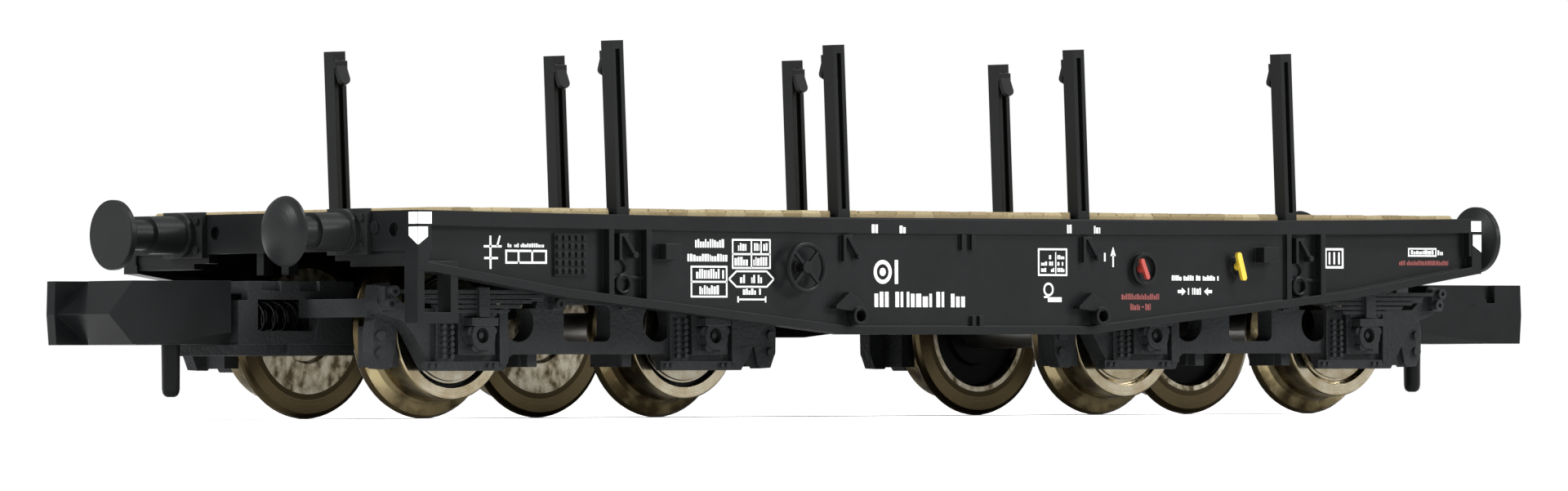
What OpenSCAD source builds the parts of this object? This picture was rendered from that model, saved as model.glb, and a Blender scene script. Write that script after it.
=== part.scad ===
// Heavy flat wagon, 1:160: fish-belly side sills, plank deck, plug-in stakes and two
// swivelling bogies, each with two wheelsets (one wheel insulated) and a hook coupler.
// X runs along the wagon (end A at -X), Y across it, Z up.
// Heights are given above the rail; each node is lifted by the flange depth,
// so that the flanges' lowest points lie at Z = 0.

/* [Underframe] */
// Length over the headstocks
frame_len = 59.5; // [57:0.5:72]
// Width over the sills' flanges
frame_w = 19.6; // [18.8:0.1:24]
// Height of the sills' top edge at the ends, above the rail
sill_top = 7.76; // [7.7:0.02:8.2]
// How far the sills' top edge dips at mid-length
sill_dip = 0.22; // [0:0.02:0.3]
// Thickness of the sills' top flange
top_flange_t = 0.6; // [0.4:0.05:0.7]
// Thickness of the sills' bottom flange
low_flange_t = 0.35; // [0.2:0.05:0.5]
// Depth of both flanges, measured inwards
flange_depth_y = 0.9; // [0.8:0.05:1]
// Thickness of the sills' web at the end panels
web_t = 0.4; // [0.35:0.05:0.45]
// How far the middle panel lies behind the flanges
panel_recess = 0.15; // [0.05:0.05:0.3]
// How far the end panels and the bays lie behind the flanges
end_recess = 0.4; // [0.1:0.05:0.4]
// Height of the belly above the rail
belly_z = 2.72; // [2.4:0.02:3.2]
// Half the length of the level part of the belly
belly_flat = 6.8; // [5:0.1:9]
// Distance of the sill's outer knee from the headstock
knee_inset = 7.75; // [6:0.25:10]
// Height of the sill's outer knee above the rail
knee_z = 4.25; // [4:0.05:4.8]
// Height of the sill's lower edge at the headstock
end_z = 5.38; // [5.1:0.02:5.6]
// Height of the floor's underside above the rail
floor_z = 6.9; // [6.85:0.05:7]
// Thickness of the floor under the weight
floor_t = 0.3; // [0.2:0.05:0.35]
// Thickness of the headstocks
headstock_t = 0.7; // [0.5:0.05:0.9]
// Height of the headstocks' lower edge above the rail
headstock_z = 6.13; // [6:0.05:6.3]
// Width of each stiffened bay in the sills
bay_w = 2; // [1.6:0.1:2.4]
// Offset of the sills' pattern to the right, seen from outside
pattern_shift = 0.37; // [0:0.01:0.5]

/* [Deck and weight] */
// Height of the planks' top above the rail
deck_z = 7.9; // [7.85:0.05:8.2]
// Thickness of the planks
deck_t = 0.45; // [0.4:0.05:0.5]
// Length of bare headstock beyond the planks
deck_inset = 1.2; // [0.8:0.1:2]
// Width of bare flange beside the planks
deck_side = 0.5; // [0.3:0.05:0.6]
// Number of planks
plank_n = 55; // [41:2:61]
// Width of the grooves between the planks
groove_w = 0.12; // [0.08:0.02:0.2]
// Depth of the grooves between the planks
groove_d = 0.14; // [0.1:0.02:0.2]
// Gap around the planks and the weight
seat_gap = 0.05; // [0.02:0.01:0.1]
// Margin between the weight and the planks' edge
weight_margin = 0.9; // [0.7:0.1:1.5]

/* [Stakes] */
// Height of the stakes' tops above the rail
stake_top = 14.8; // [12:0.2:17]
// Width of a stake along the wagon
stake_w = 0.64; // [0.5:0.02:0.8]
// Depth of a stake across the wagon
stake_d = 0.66; // [0.5:0.02:0.8]
// Thickness of a stake's web and flanges
stake_t = 0.2; // [0.14:0.02:0.24]
// Width of the square tail that plugs into the sill
tail_w = 0.4; // [0.3:0.02:0.44]
// Length of the tail
tail_len = 1.2; // [0.8:0.1:1.3]
// Clearance around the tail and the stake's foot
tail_gap = 0.04; // [0.02:0.01:0.08]
// Distance of the stakes' centres from the sill's face
stake_inset = 0.62; // [0.55:0.01:0.7]
// Distance of the outer stakes from the headstock
stake_end_inset = 11.03; // [10:0.1:13]
// Distance of the inner stakes from mid-length
stake_mid = 6.72; // [6:0.1:8]
// Lean of the stakes towards end A, in degrees
stake_lean = 2.2; // [0:0.1:3]
// How far the tail is set towards the wagon's middle
tail_shift = 0.12; // [0.05:0.01:0.15]

/* [Buffers] */
// Distance of the buffer faces from the headstock
buffer_len = 4; // [3:0.1:5]
// Distance between a pair of buffers
buffer_pitch = 10.94; // [10:0.1:12]
// Height of the buffers' centres above the rail
buffer_z = 6.92; // [6.9:0.02:7]
// Diameter of the buffer heads
buffer_d = 2.9; // [2.4:0.1:3.2]
// Thickness of the buffer heads
buffer_t = 0.32; // [0.2:0.02:0.5]
// Height of the domed buffer heads' crown
dome_h = 0.6; // [0.3:0.05:0.8]
// Diameter of the buffer sleeves
sleeve_d = 1.56; // [1.2:0.05:1.6]
// Length of the buffer sleeves
sleeve_len = 2.1; // [1.6:0.1:2.6]
// Diameter of the buffer plungers
plunger_d = 1.24; // [0.9:0.05:1.3]
// Radius of the spigot that holds a buffer in its headstock
spigot_r = 0.4; // [0.3:0.05:0.5]

/* [Wheelsets] */
// Wheel tread radius
wheel_r = 2.95; // [2.4:0.05:3.1]
// Depth of the wheel flanges below the tread
flange_depth = 0.7; // [0.5:0.05:0.9]
// Distance between the backs of a pair of wheels
back_to_back = 7.4; // [7.4:0.05:7.6]
// Width of a wheel
wheel_w = 2.1; // [1.8:0.05:2.2]
// Thickness of the wheel flanges
flange_w = 0.5; // [0.4:0.05:0.6]
// Radius of the axle between the wheels
axle_r = 0.75; // [0.6:0.05:0.9]
// Radius of the axle's journals
journal_r = 0.5; // [0.4:0.05:0.55]
// Distance over the axle's points
axle_len = 15; // [14.8:0.1:15.2]
// Radial clearance of the journals in the bogie
journal_gap = 0.06; // [0.03:0.01:0.1]
// Gap at each pressed joint
press_gap = 0.01; // [0.005:0.005:0.02]
// Outer radius of the dark groove in the wheels' faces, and of the insulating centre
centre_r = 2.4; // [2.2:0.05:2.45]
// Inner radius of that groove
disc_r = 2.24; // [2:0.02:2.26]

/* [Bogies] */
// Distance of each king pin from its headstock
king_inset = 11.15; // [10.5:0.05:14]
// Distance between the axles of a bogie
wheelbase = 12.46; // [11.5:0.1:15]
// Distance between the insides of the side frames
side_in = 12.4; // [12.3:0.05:12.6]
// Thickness of the side frames
side_t = 0.9; // [0.7:0.05:1]
// Height of the side frames' lower edge above the rail
side_low = 1.92; // [1.7:0.02:2.1]
// Height of the side frames' upper edge above the rail
side_high = 4.75; // [4.6:0.05:4.85]
// Height of the bars under the axle boxes above the rail
tie_z = 1.25; // [1.1:0.05:1.4]
// Height of the bolster's underside above the rail
bolster_z = 4; // [3.9:0.05:4.2]
// Height of the bolster's top above the rail
bolster_top = 5.2; // [5:0.05:5.4]
// Half the width of the bolster
bolster_x = 1.9; // [1.6:0.1:2]
// Radius of the king pin
king_r = 0.9; // [0.7:0.05:1.1]
// Radius of the king pin's head
king_head_r = 1.5; // [1.3:0.05:1.6]
// Radial clearance of the king pin in the bogie
king_gap = 0.06; // [0.03:0.01:0.1]
// How far the axle boxes stand out from the side frames
box_depth = 0.95; // [0.8:0.05:1]
// How far the leaf springs stand out from the side frames
spring_out = 0.7; // [0.5:0.05:0.7]
// Half the length of the springs' top leaf
spring_half = 4; // [3:0.1:4.2]
// Number of spring leaves
leaf_n = 5; // [3:1:6]

/* [Couplers] */
// Reach of the coupler's nose beyond the headstock
coupler_reach = 9.85; // [9.5:0.05:11]
// Half the width of the coupler pocket
pocket_y = 2.2; // [2:0.05:2.6]
// Thickness of the pocket's side walls
pocket_t = 0.45; // [0.35:0.05:0.55]
// Height of the pocket's top above the rail
pocket_top = 4.95; // [4.9:0.01:5]
// Length of the pocket
pocket_len = 6; // [5:0.1:7]
// Height of the pocket's lower edge above the rail
pocket_z = 2.36; // [2.3:0.02:2.5]
// Thickness of the pocket's cover
cover_t = 0.45; // [0.3:0.05:0.5]
// Length of the coupler head
head_len = 6.25; // [5.5:0.05:7]
// Half the width of the coupler head
head_y = 2.1; // [1.8:0.05:2.3]
// Height of the coupler head's underside above the rail
head_z = 2.36; // [2.3:0.02:2.6]
// Height of the coupler head's top above the rail
head_top = 4.96; // [4.8:0.02:5]
// Length of the head's wedge
wedge_len = 1.35; // [1:0.05:1.6]
// Gap between the head and the pocket
head_gap = 0.3; // [0.25:0.05:0.5]
// Radius of the uncoupling pin
trip_r = 0.4; // [0.3:0.05:0.6]
// Distance of that pin's centre from the rear of the head
trip_back = 1.5; // [0.8:0.1:2]
// Height of the uncoupling pin's lower end above the rail
trip_z = 0.21; // [0.1:0.01:0.5]

/* [Hidden] */
$fn = 48;
eps = 0.02;

// Colours
moulding = [0.13, 0.14, 0.15];
wood = [0.72, 0.66, 0.48];
steel = [0.62, 0.6, 0.56];
bronze = [0.55, 0.5, 0.38];
plastic = [0.08, 0.08, 0.09];
red = [0.7, 0.12, 0.1];
yellow = [0.85, 0.7, 0.12];

// Places that several parts share
half_l = frame_len / 2;
half_w = frame_w / 2;
knee_x = half_l - knee_inset;
king_x = half_l - king_inset;
stake_end = half_l - stake_end_inset;
stake_xs = [-stake_end, -stake_mid, stake_mid, stake_end];
stake_y = half_w - stake_inset;
bay_x = stake_end + 0.23; // the bays stand a little outside the stakes
ledge_z = deck_z - deck_t;
end_face = half_w - end_recess;
mid_face = half_w - panel_recess;
web_in = end_face - web_t;
deck_y = half_w - deck_side - seat_gap;
weight_x = half_l - deck_inset - weight_margin;
weight_y = deck_y - weight_margin - 0.2;
weight_z = floor_z + floor_t;
axle_z = wheel_r;
back_y = back_to_back / 2;
face_y = back_y + wheel_w;
side_y = side_in / 2;
side_out = side_y + side_t;
box_out = side_out + box_depth;
band_steps = 16;
tip_x = half_l + coupler_reach;
head_x = tip_x - head_len;
pocket_x = head_x - head_gap;
pocket_back = pocket_x - pocket_len;
pivot_x = pocket_x - 0.9; // the tail's crossbar, behind the pocket's mouth
pivot_z = (head_z + head_top) / 2 - 0.15;
pocket_in = pocket_y - pocket_t;
pocket_front = pocket_x - 0.5;
pocket_rear = pocket_back + 0.7;
pocket_roof = pocket_top - 0.5;
bar_low = 3.45; // bars across the bogies' ends
bar_high = 4.2;
bar_t = 0.5;
end_bar_x = wheelbase / 2 + wheel_r + flange_depth + 0.6; // clear of the wheels

// Height of the sill's lower edge at x
function low(x) = let (a = abs(x))
    a <= belly_flat ? belly_z
    : a <= knee_x ? belly_z + (a - belly_flat) * (knee_z - belly_z) / (knee_x - belly_flat)
    : knee_z + (a - knee_x) * (end_z - knee_z) / (half_l - knee_x);

// Height of the sill's top edge at x
function high(x) = sill_top - sill_dip * (1 - pow(x / half_l, 2));

// Points of the lower edge between two places, raised by dz
function low_line(x0, x1, dz = 0) = [
    for (x = [x0, -knee_x, -belly_flat, belly_flat, knee_x, x1])
        if (x >= x0 && x <= x1) [x, low(x) + dz]];

function reversed(pts) = [for (i = [len(pts) - 1 : -1 : 0]) pts[i]];

module lift() translate([0, 0, flange_depth]) children();

// A thing at end A (0) or, turned about the wagon's middle, at end B (1)
module at_end(e) rotate([0, 0, 180 * e]) children();

module both() {
    children();
    rotate([0, 0, 180]) children();
}

module mirrored(axis) {
    children();
    mirror(axis) children();
}

// An outline in X and Z, made solid from y0 to y1
module xz(y0, y1) translate([0, y1, 0]) rotate([90, 0, 0]) linear_extrude(y1 - y0) children();

module block(x0, x1, y0, y1, z0, z1) translate([x0, y0, z0]) cube([x1 - x0, y1 - y0, z1 - z0]);

// A round bar along Y
module bar_y(x, z, r, y0, y1, fn = 48)
    translate([x, y0, z]) rotate([-90, 0, 0]) cylinder(r = r, h = y1 - y0, $fn = fn);

// A rectangle with round corners, centred on x and z
module soft_rect(x, z, w, h, r) translate([x, z]) {
    square([w - 2 * r, h], center = true);
    square([w, h - 2 * r], center = true);
    for (sx = [-1, 1], sz = [-1, 1])
        translate([sx * (w / 2 - r), sz * (h / 2 - r)]) circle(r, $fn = 24);
}

// ---- Underframe -------------------------------------------------------

// One panel of the web, from x0 to x1, with its outer face at y = -face
module web_panel(x0, x1, face) xz(-face, -web_in + eps)
    polygon(concat(low_line(x0, x1), [[x1, high(x1) - eps], [x0, high(x0) - eps]]));

module top_flange() {
    xs = [for (i = [0 : band_steps]) -half_l + frame_len * i / band_steps];
    xz(-half_w, -half_w + flange_depth_y + eps) polygon(concat(
        [for (x = xs) [x, high(x) - top_flange_t]],
        reversed([for (x = xs) [x, high(x)]])));
}

module bottom_flange() xz(-half_w, -half_w + flange_depth_y) polygon(concat(
    low_line(-half_l, half_l), reversed(low_line(-half_l, half_l, low_flange_t))));

rib_w = 0.26;
corner_rib_w = 0.55;
module sill_rib(x, w = rib_w) xz(-half_w, -web_in) polygon([
    [x - w / 2, low(x) + eps], [x + w / 2, low(x) + eps],
    [x + w / 2, high(x) - eps], [x - w / 2, high(x) - eps]]);

// Lashing ring: a short tube on a sloping bracket
ring_r = 0.38;
ring_hole = 0.26;
ring_out = half_w + 0.42;
module lashing_ring(x, z) {
    difference() {
        bar_y(x, z, ring_r, -ring_out, -web_in, 32);
        bar_y(x, z, ring_hole, -ring_out - 1, -ring_out + 0.7, 32);
    }
    xz(-ring_out + 0.12, -web_in) polygon([
        [x - 1.25, z + 0.42], [x - 1.25, z + 0.3], [x - 0.3, z + 0.2],
        [x + 0.3, z + 0.2], [x + 0.2, z + 0.55], [x - 0.5, z + 0.98]]);
}

// A round wire from p to q, both in X and Z, at depth y
module wire(p, q, y) {
    d = q - p;
    translate([p[0], y, p[1]]) rotate([0, atan2(d[0], d[1]), 0]) cylinder(r = wire_r, h = norm(d), $fn = 16);
}

// Fittings of a bay: a shelf, a lashing ring in front of it and the wire that holds the ring
wire_r = 0.07;
bay_ring_r = 0.36;
bay_ring_z = 4.8;
shelf_z = 5;
module bay_fittings(x) {
    y = -end_face - 0.06;
    hook = [[x - 0.28, 5.92], [x + 0.02, 5.55], [x - 0.02, 5.27], [x - 0.4, 5.02]];
    block(x - bay_w / 2, x + bay_w / 2, -end_face - 0.1, -web_in, shelf_z, shelf_z + 0.12);
    translate([x - 0.15, y - 0.06, bay_ring_z]) rotate([90, 0, 0]) rotate_extrude($fn = 32)
        translate([bay_ring_r, 0]) circle(0.09, $fn = 16);
    for (i = [0 : 2])
        wire(hook[i], hook[i + 1], y);
    for (p = hook)
        translate([p[0], y, p[1]]) sphere(wire_r, $fn = 16);
}

// Locking lever of a stake, on the face of the sill: a guide rib and a slanting
// bar with a knob, standing out to y = -out
lock_top = 6.86;
module stake_lock(x, out) {
    block(x - 0.43, x - 0.3, -out, -web_in, lock_top - 1.1, lock_top);
    block(x - 0.43, x + 0.05, -out, -web_in, lock_top - 0.12, lock_top);
    translate([x + 0.12, -(out + web_in) / 2, lock_top - 0.45]) rotate([0, -35, 0])
        cube([0.14, out - web_in, 1.05], center = true);
    bar_y(x + 0.42, lock_top - 0.88, 0.13, -out - 0.05, -web_in, 16);
}

// Stirrup step below the sill, at the left end seen from outside
step_w = 2.1;
step_z = 3.17;
module stirrup() difference() {
    block(-half_l, -half_l + step_w, -half_w + 0.05, -half_w + flange_depth_y, step_z, end_z + 0.3);
    block(-half_l + 0.35, -half_l + step_w - 0.38, -half_w - 1, -half_w + 2, step_z + 0.44, end_z - 0.12);
}

// Raised plate with a grid of studs
grid_n = 5;
grid_pitch = 0.34;
stud_w = 0.2;
module grid_plate() {
    x0 = -half_l + 7.38;
    z0 = 5.1;
    side = grid_n * grid_pitch + 0.05;
    block(x0, x0 + side, -end_face - 0.1, -web_in, z0, z0 + side);
    for (i = [0 : grid_n - 1], j = [0 : grid_n - 1])
        translate([x0 + 0.1 + i * grid_pitch, -end_face - 0.2, z0 + 0.1 + j * grid_pitch])
            cube([stud_w, 0.25, stud_w]);
}

// Changeover dial on the face of the sill, with the brake lever beside its middle
dial_x = 9.91;
brake_x = dial_x - 0.2;
dial_z = 5.5;
dial_r = 0.7;
dial_out = mid_face + 0.22;
module dial() difference() {
    bar_y(dial_x, dial_z, dial_r, -dial_out, -web_in);
    bar_y(dial_x, dial_z, dial_r - 0.14, -dial_out - 1, -dial_out + 0.16);
}

handwheel_x = -9.38;
handwheel_z = 5.5;
handwheel_r = 1.08;
stub_r = 0.16;
stub_end = mid_face - 0.25;
load_x = half_l - 14.45;
load_z = 5.63;

bracket_w = 0.84;
bracket_z = 5.8;
pair_w = 0.2;

module near_side() {
    bay_l = -bay_x + pattern_shift;
    bay_r = bay_x + pattern_shift;
    top_flange();
    bottom_flange();
    web_panel(-half_l + eps, bay_l + bay_w / 2, end_face);
    web_panel(bay_l + bay_w / 2, bay_r - bay_w / 2, mid_face);
    web_panel(bay_r - bay_w / 2, half_l - eps, end_face);
    for (x = [bay_l, bay_r], s = [-1, 1])
        sill_rib(x + s * bay_w / 2);
    for (s = [-1, 1])
        sill_rib(s * (half_l - corner_rib_w / 2), corner_rib_w);
    // lashing rings
    for (x = [bay_l, bay_r])
        bay_fittings(x);
    for (s = [-1, 1])
        lashing_ring(s * belly_flat + pattern_shift, belly_z + 0.78);
    for (s = [-1, 1])
        stake_lock(s * stake_mid + 0.1, half_w + 0.05);
    for (s = [-1, 1])
        stake_lock(s * bay_x + pattern_shift - 0.1, half_w - 0.05);
    // small lamp-bracket blocks
    for (x = [bay_l + 2, bay_r - 2.42])
        block(x - bracket_w / 2, x + bracket_w / 2, -half_w - 0.4, -web_in, bracket_z, bracket_z + 0.65);
    // paired ribs at mid-length, above and below
    for (x = [-0.45, 0.1])
        block(x, x + pair_w, -half_w, -web_in, 6.26, 6.9);
    for (x = [0.12, 0.52])
        block(x, x + pair_w, -half_w, -web_in, 2.9, 3.5);
    grid_plate();
    dial();
    stirrup();
    // bosses that hold the handwheel and the load lever
    bar_y(handwheel_x, handwheel_z, 0.34, -mid_face - 0.12, -web_in, 24);
    bar_y(load_x, load_z, 0.42, -mid_face - 0.1, -web_in, 32);
}

// Headstock of end A, with the ledges under the buffers and the two small tabs
ledge_in = 4.2;
module headstock() {
    block(-half_l, -half_l + headstock_t, -half_w + 0.02, half_w - 0.02, headstock_z, sill_top);
    block(-half_l + 0.02, -half_l + deck_inset + seat_gap, -web_in, web_in, floor_z, sill_top);
    mirrored([0, 1, 0]) {
        block(-half_l + 0.15, -half_l + headstock_t, ledge_in, half_w - 0.6, 5.75, headstock_z + eps);
        block(-half_l + 0.15, -half_l + headstock_t, ledge_in + 1, half_w - 0.9, 5.5, 5.8);
        block(-half_l + 0.2, -half_l + headstock_t, 0.6, 1.05, 5.22, headstock_z + eps);
    }
    // large bolt heads near the corners
    mirrored([0, 1, 0]) translate([-half_l - 0.12, half_w - 2.73, 7.1]) rotate([0, 90, 0])
        cylinder(r = 0.25, h = 0.3, $fn = 24);
}

// Floor between the sills, with the boss that each bogie turns on
boss_r = 2.2;
module floor_slab() {
    block(-half_l + 0.1, half_l - 0.1, -web_in - eps, web_in + eps, floor_z, ledge_z);
    both() translate([-king_x, 0, bolster_top + 0.1]) cylinder(r = boss_r, h = floor_z - bolster_top);
    // stiffening ribs across the middle of the floor
    for (x = [-stake_mid, 0, stake_mid])
        block(x - 0.25, x + 0.25, -web_in - eps, web_in + eps, floor_z - 0.5, floor_z + eps);
    for (y = [-3, 3])
        block(-stake_mid, stake_mid, y - 0.25, y + 0.25, floor_z - 0.5, floor_z + eps);
}

module stake_place(x, side) translate([x, side * stake_y, ledge_z]) rotate([0, -stake_lean, 0]) children();

// Blocks inside the sills that the stakes' tails go down into
module socket_blocks() for (x = stake_xs, s = [-1, 1])
    block(x - 0.6, x + 0.5, s > 0 ? stake_y - 0.75 : -web_in - eps,
        s > 0 ? web_in + eps : -stake_y + 0.75, ledge_z - tail_len - 0.45, ledge_z);

module stake_sockets() for (x = stake_xs, s = [-1, 1]) {
    stake_place(x, s) {
        translate([0, -s * tail_shift, -tail_len / 2]) cube([tail_w + 2 * tail_gap, tail_w + 2 * tail_gap,
            tail_len + 2 * tail_gap], center = true);
        translate([0, 0, 1]) cube([stake_w + 0.1, stake_d + 0.1, 2], center = true);
    }
}

module underframe() color(moulding) lift() difference() {
    union() {
        both() near_side();
        both() headstock();
        floor_slab();
        socket_blocks();
    }
    // seats of the planks and of the weight
    seat(half_l - deck_inset, deck_y, ledge_z);
    seat(weight_x, weight_y, weight_z);
    stake_sockets();
    both() translate([-king_x, 0, bolster_top]) cylinder(r = king_r + press_gap, h = 3);
    both() mirrored([0, 1, 0])
        translate([-half_l - 1, buffer_pitch / 2, buffer_z]) rotate([0, 90, 0])
            cylinder(r = spigot_r + press_gap, h = headstock_t + 1.3);
    // round holes in the headstocks, between the buffers and the corners
    both() for (y = [-8.2, 3.6])
        translate([-half_l - 1, y, 6.98]) rotate([0, 90, 0])
            cylinder(r = 0.3, h = headstock_t + 0.6, $fn = 24);
    // holes for the handwheels' and levers' stubs
    both() for (p = [[handwheel_x, handwheel_z], [brake_x, dial_z], [load_x, load_z]])
        bar_y(p[0], p[1], stub_r + press_gap, -half_w - 2, -web_in + 0.5, 24);
}

// A hollow with the seat gap round the thing it holds
module seat(x, y, z) block(-x - seat_gap, x + seat_gap, -y - seat_gap, y + seat_gap, z, sill_top + 1);

// ---- Deck, weight, stakes ----------------------------------------------

module deck_planks() color(wood) lift() difference() {
    deck_x = half_l - deck_inset;
    pitch = 2 * deck_x / plank_n;
    block(-deck_x, deck_x, -deck_y, deck_y, ledge_z, deck_z);
    for (i = [1 : plank_n - 1])
        translate([-deck_x + i * pitch, 0, deck_z]) cube([groove_w, frame_w, 2 * groove_d], center = true);
    for (x = stake_xs, s = [-1, 1])
        translate([x, s * (stake_y + 0.5), ledge_z]) cube([1.1, 1 + stake_d + 0.3, 3], center = true);
}

module ballast_plate() color(steel) lift()
    block(-weight_x, weight_x, -weight_y, weight_y, weight_z, ledge_z);

// An I-section post with a tail below, and near its top a cleat on the side
// towards the wagon's middle; face is -1 on the near side and 1 on the far side
cleat_w = 0.56;
cleat_len = 1.1;
cleat_t = 0.2;
cleat_angle = 22;
module stake(i, face) color(moulding) lift() stake_place(stake_xs[i], face) {
    h = (stake_top - ledge_z) / cos(stake_lean);
    inner = stake_w / 2 - stake_t;
    difference() {
        translate([-stake_w / 2, -stake_d / 2, 0]) cube([stake_w, stake_d, h]);
        for (s = [-1, 1])
            translate([-inner, s > 0 ? stake_t / 2 : -stake_d, 0.5])
                cube([2 * inner, stake_d - stake_t / 2, h - 0.85]);
    }
    translate([0, -face * tail_shift, -tail_len / 2 + eps])
        cube([tail_w, tail_w, tail_len - eps], center = true);
    // a tongue that hangs away from the post
    translate([0, -face * (stake_d / 2 - 0.08), h - 0.4]) rotate([-face * cleat_angle, 0, 0])
        rotate([90, 0, 0]) linear_extrude(cleat_t, center = true) {
            translate([0, cleat_w / 2 - cleat_len]) circle(d = cleat_w, $fn = 32);
            translate([-cleat_w / 2, cleat_w / 2 - cleat_len]) square([cleat_w, cleat_len - cleat_w / 2]);
        }
    translate([0, -face * stake_d / 2, h - 0.55]) cube([stake_w, 0.24, 0.3], center = true);
}

// ---- Buffers, handwheels, levers ---------------------------------------

// Buffer of end A; domed ones have a crowned head
module buffer(side, domed) color(moulding) lift()
    translate([-half_l, side * buffer_pitch / 2, buffer_z]) rotate([0, -90, 0]) {
        neck = buffer_len - buffer_t;
        rim = buffer_len - dome_h;
        translate([-0.95, -1.3, 0]) cube([1.9, 2.6, 0.25]);
        cylinder(d = sleeve_d, h = sleeve_len);
        cylinder(d = plunger_d, h = (domed ? rim - 0.3 : neck) + eps);
        cylinder(d = sleeve_d + 0.3, h = 0.55);
        translate([0, 0, -headstock_t - 0.1]) cylinder(r = spigot_r, h = headstock_t + 0.1 + eps);
        for (y = [-1, 1], z = [-0.6, 0.6])
            translate([z, y, 0.2]) cylinder(r = 0.16, h = 0.18, $fn = 16);
        if (domed)
            rotate_extrude() polygon(concat(
                [[0, rim - 0.4], [0.6, rim - 0.4], [buffer_d / 2 - 0.06, rim - 0.06]],
                [for (a = [0 : 10 : 90]) [buffer_d / 2 * cos(a), rim + dome_h * sin(a)]]));
        else
            rotate_extrude() polygon([[0, neck - 0.25], [0.6, neck - 0.25], [buffer_d / 2 - 0.05, neck],
                [buffer_d / 2, neck + 0.05], [buffer_d / 2, buffer_len - 0.04],
                [buffer_d / 2 - 0.04, buffer_len], [0, buffer_len]]);
    }

module brake_wheel(e) color(plastic) lift() at_end(e) {
    rim_r = 0.11;
    plane = -half_w - 0.35;
    translate([handwheel_x, plane, handwheel_z]) rotate([90, 0, 0]) {
        rotate_extrude($fn = 64) translate([handwheel_r - rim_r, 0]) circle(rim_r, $fn = 16);
        for (a = [45, 135])
            rotate([0, 0, a]) cube([2 * (handwheel_r - rim_r), 0.13, 0.12], center = true);
        cylinder(r = 0.24, h = 0.24, center = true, $fn = 24);
    }
    bar_y(handwheel_x, handwheel_z, stub_r, plane, -stub_end, 24);
}

// A changeover lever: a slanting bar on a stub
lever_t = 0.16;
module lever(x, z, len, w, angle) {
    plane = -dial_out - 0.06 - lever_t / 2;
    translate([x, plane, z]) rotate([0, angle, 0]) {
        cube([w, lever_t, len - w], center = true);
        for (s = [-1, 1])
            translate([0, -lever_t / 2, s * (len - w) / 2]) rotate([-90, 0, 0])
                cylinder(d = w, h = lever_t, $fn = 24);
    }
    bar_y(x, z, stub_r, plane, -stub_end, 24);
}

module brake_lever(e) color(red) lift() at_end(e) lever(brake_x, dial_z, 0.95, 0.2, -24);

module load_lever(e) color(yellow) lift() at_end(e) lever(load_x, load_z, 1.25, 0.26, -17);

// ---- Bogies --------------------------------------------------------------

king_head_t = 0.5;
module king_pin(e) color(plastic) lift() at_end(e) translate([-king_x, 0, 0]) {
    foot_z = bolster_z - king_head_t - 0.1;
    translate([0, 0, foot_z]) cylinder(r = king_head_r, h = king_head_t);
    translate([0, 0, foot_z]) cylinder(r = king_r, h = weight_z - seat_gap - foot_z);
}

// Outline of the near half of a side frame, mirrored about its middle
module side_outline() mirrored([1, 0]) polygon([
    [-eps, side_low], [wheelbase / 2 - 2.2, side_low], [wheelbase / 2 - 2, side_low - 0.12],
    [wheelbase / 2 - 1.78, tie_z + 0.05], [wheelbase / 2 - 1.7, tie_z],
    [wheelbase / 2 + 2, tie_z], [wheelbase / 2 + 2.15, tie_z + 0.2],
    [wheelbase / 2 + 3, tie_z + 1.5], [wheelbase / 2 + 3.55, tie_z + 2.05],
    [wheelbase / 2 + 4.6, tie_z + 2.35], [wheelbase / 2 + 4.95, tie_z + 2.8],
    [wheelbase / 2 + 4.75, side_high], [wheelbase / 2 + 4.3, side_high + 0.1],
    [wheelbase / 2 + 3.9, side_high - 0.45], [wheelbase / 2 + 3.3, side_high - 0.95],
    [wheelbase / 2 - 3.4, side_high - 0.95], [wheelbase / 2 - 3.7, side_high - 0.2],
    [wheelbase / 2 - 4.1, side_high], [-eps, side_high]]);

module side_holes() {
    z_mid = (side_low + 0.53 + 3.95) / 2;
    h = 3.95 - side_low - 0.53;
    soft_rect(0.08, z_mid, 2.5, h, 0.3);
    for (s = [-1, 1]) translate([s * 3.72, 0]) {
        translate([0, side_low + 0.53 + 0.78]) circle(0.8, $fn = 32);
        polygon([[-0.79, side_low + 1.2], [0.79, side_low + 1.2], [0.5, 3.95], [-0.5, 3.95]]);
    }
}

module leaf_spring(x) {
    leaf_t = 0.15;
    gap = 0.05;
    for (i = [0 : leaf_n - 1]) {
        z = side_high - 0.2 - i * (leaf_t + gap);
        half = spring_half - i * 0.62;
        xz(side_out - eps, side_out + spring_out) polygon([
            [x - half, z], [x + half, z], [x + half - 0.15, z - leaf_t], [x - half + 0.15, z - leaf_t]]);
    }
    // backing that carries the leaves, and the buckle
    block(x - spring_half + 0.6, x + spring_half - 0.6, side_out - eps, side_out + 0.55,
        side_high - 0.2 - leaf_t * 3, side_high - 0.25);
    block(x - 0.9, x + 0.9, side_out - eps, side_out + 0.55, side_high - 1.25, side_high - 0.25);
    block(x - 0.27, x + 0.27, side_out - eps, box_out - 0.05, side_high - 1.3, side_high - 0.1);
}

// Front of an axle box: a round cover with lobes and a recess, hooded above
cover_r = 0.6;
cover_drop = 0.26;
module box_cover(x) {
    z = axle_z - cover_drop;
    difference() {
        union() {
            bar_y(x, z, cover_r, side_out - eps, box_out - 0.12);
            for (a = [18 : 72 : 306])
                bar_y(x + cover_r * cos(a), z + cover_r * sin(a), 0.18, side_out - eps, box_out - 0.2, 24);
            block(x - 0.68, x + 0.68, side_out - eps, box_out - 0.02, z + 0.4, z + 0.72);
        }
        bar_y(x + 0.06, z, 0.32, box_out - 0.45, box_out + 1, 32);
    }
    bar_y(x + 0.06, z, 0.12, side_out - eps, box_out - 0.22, 24);
}

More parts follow.
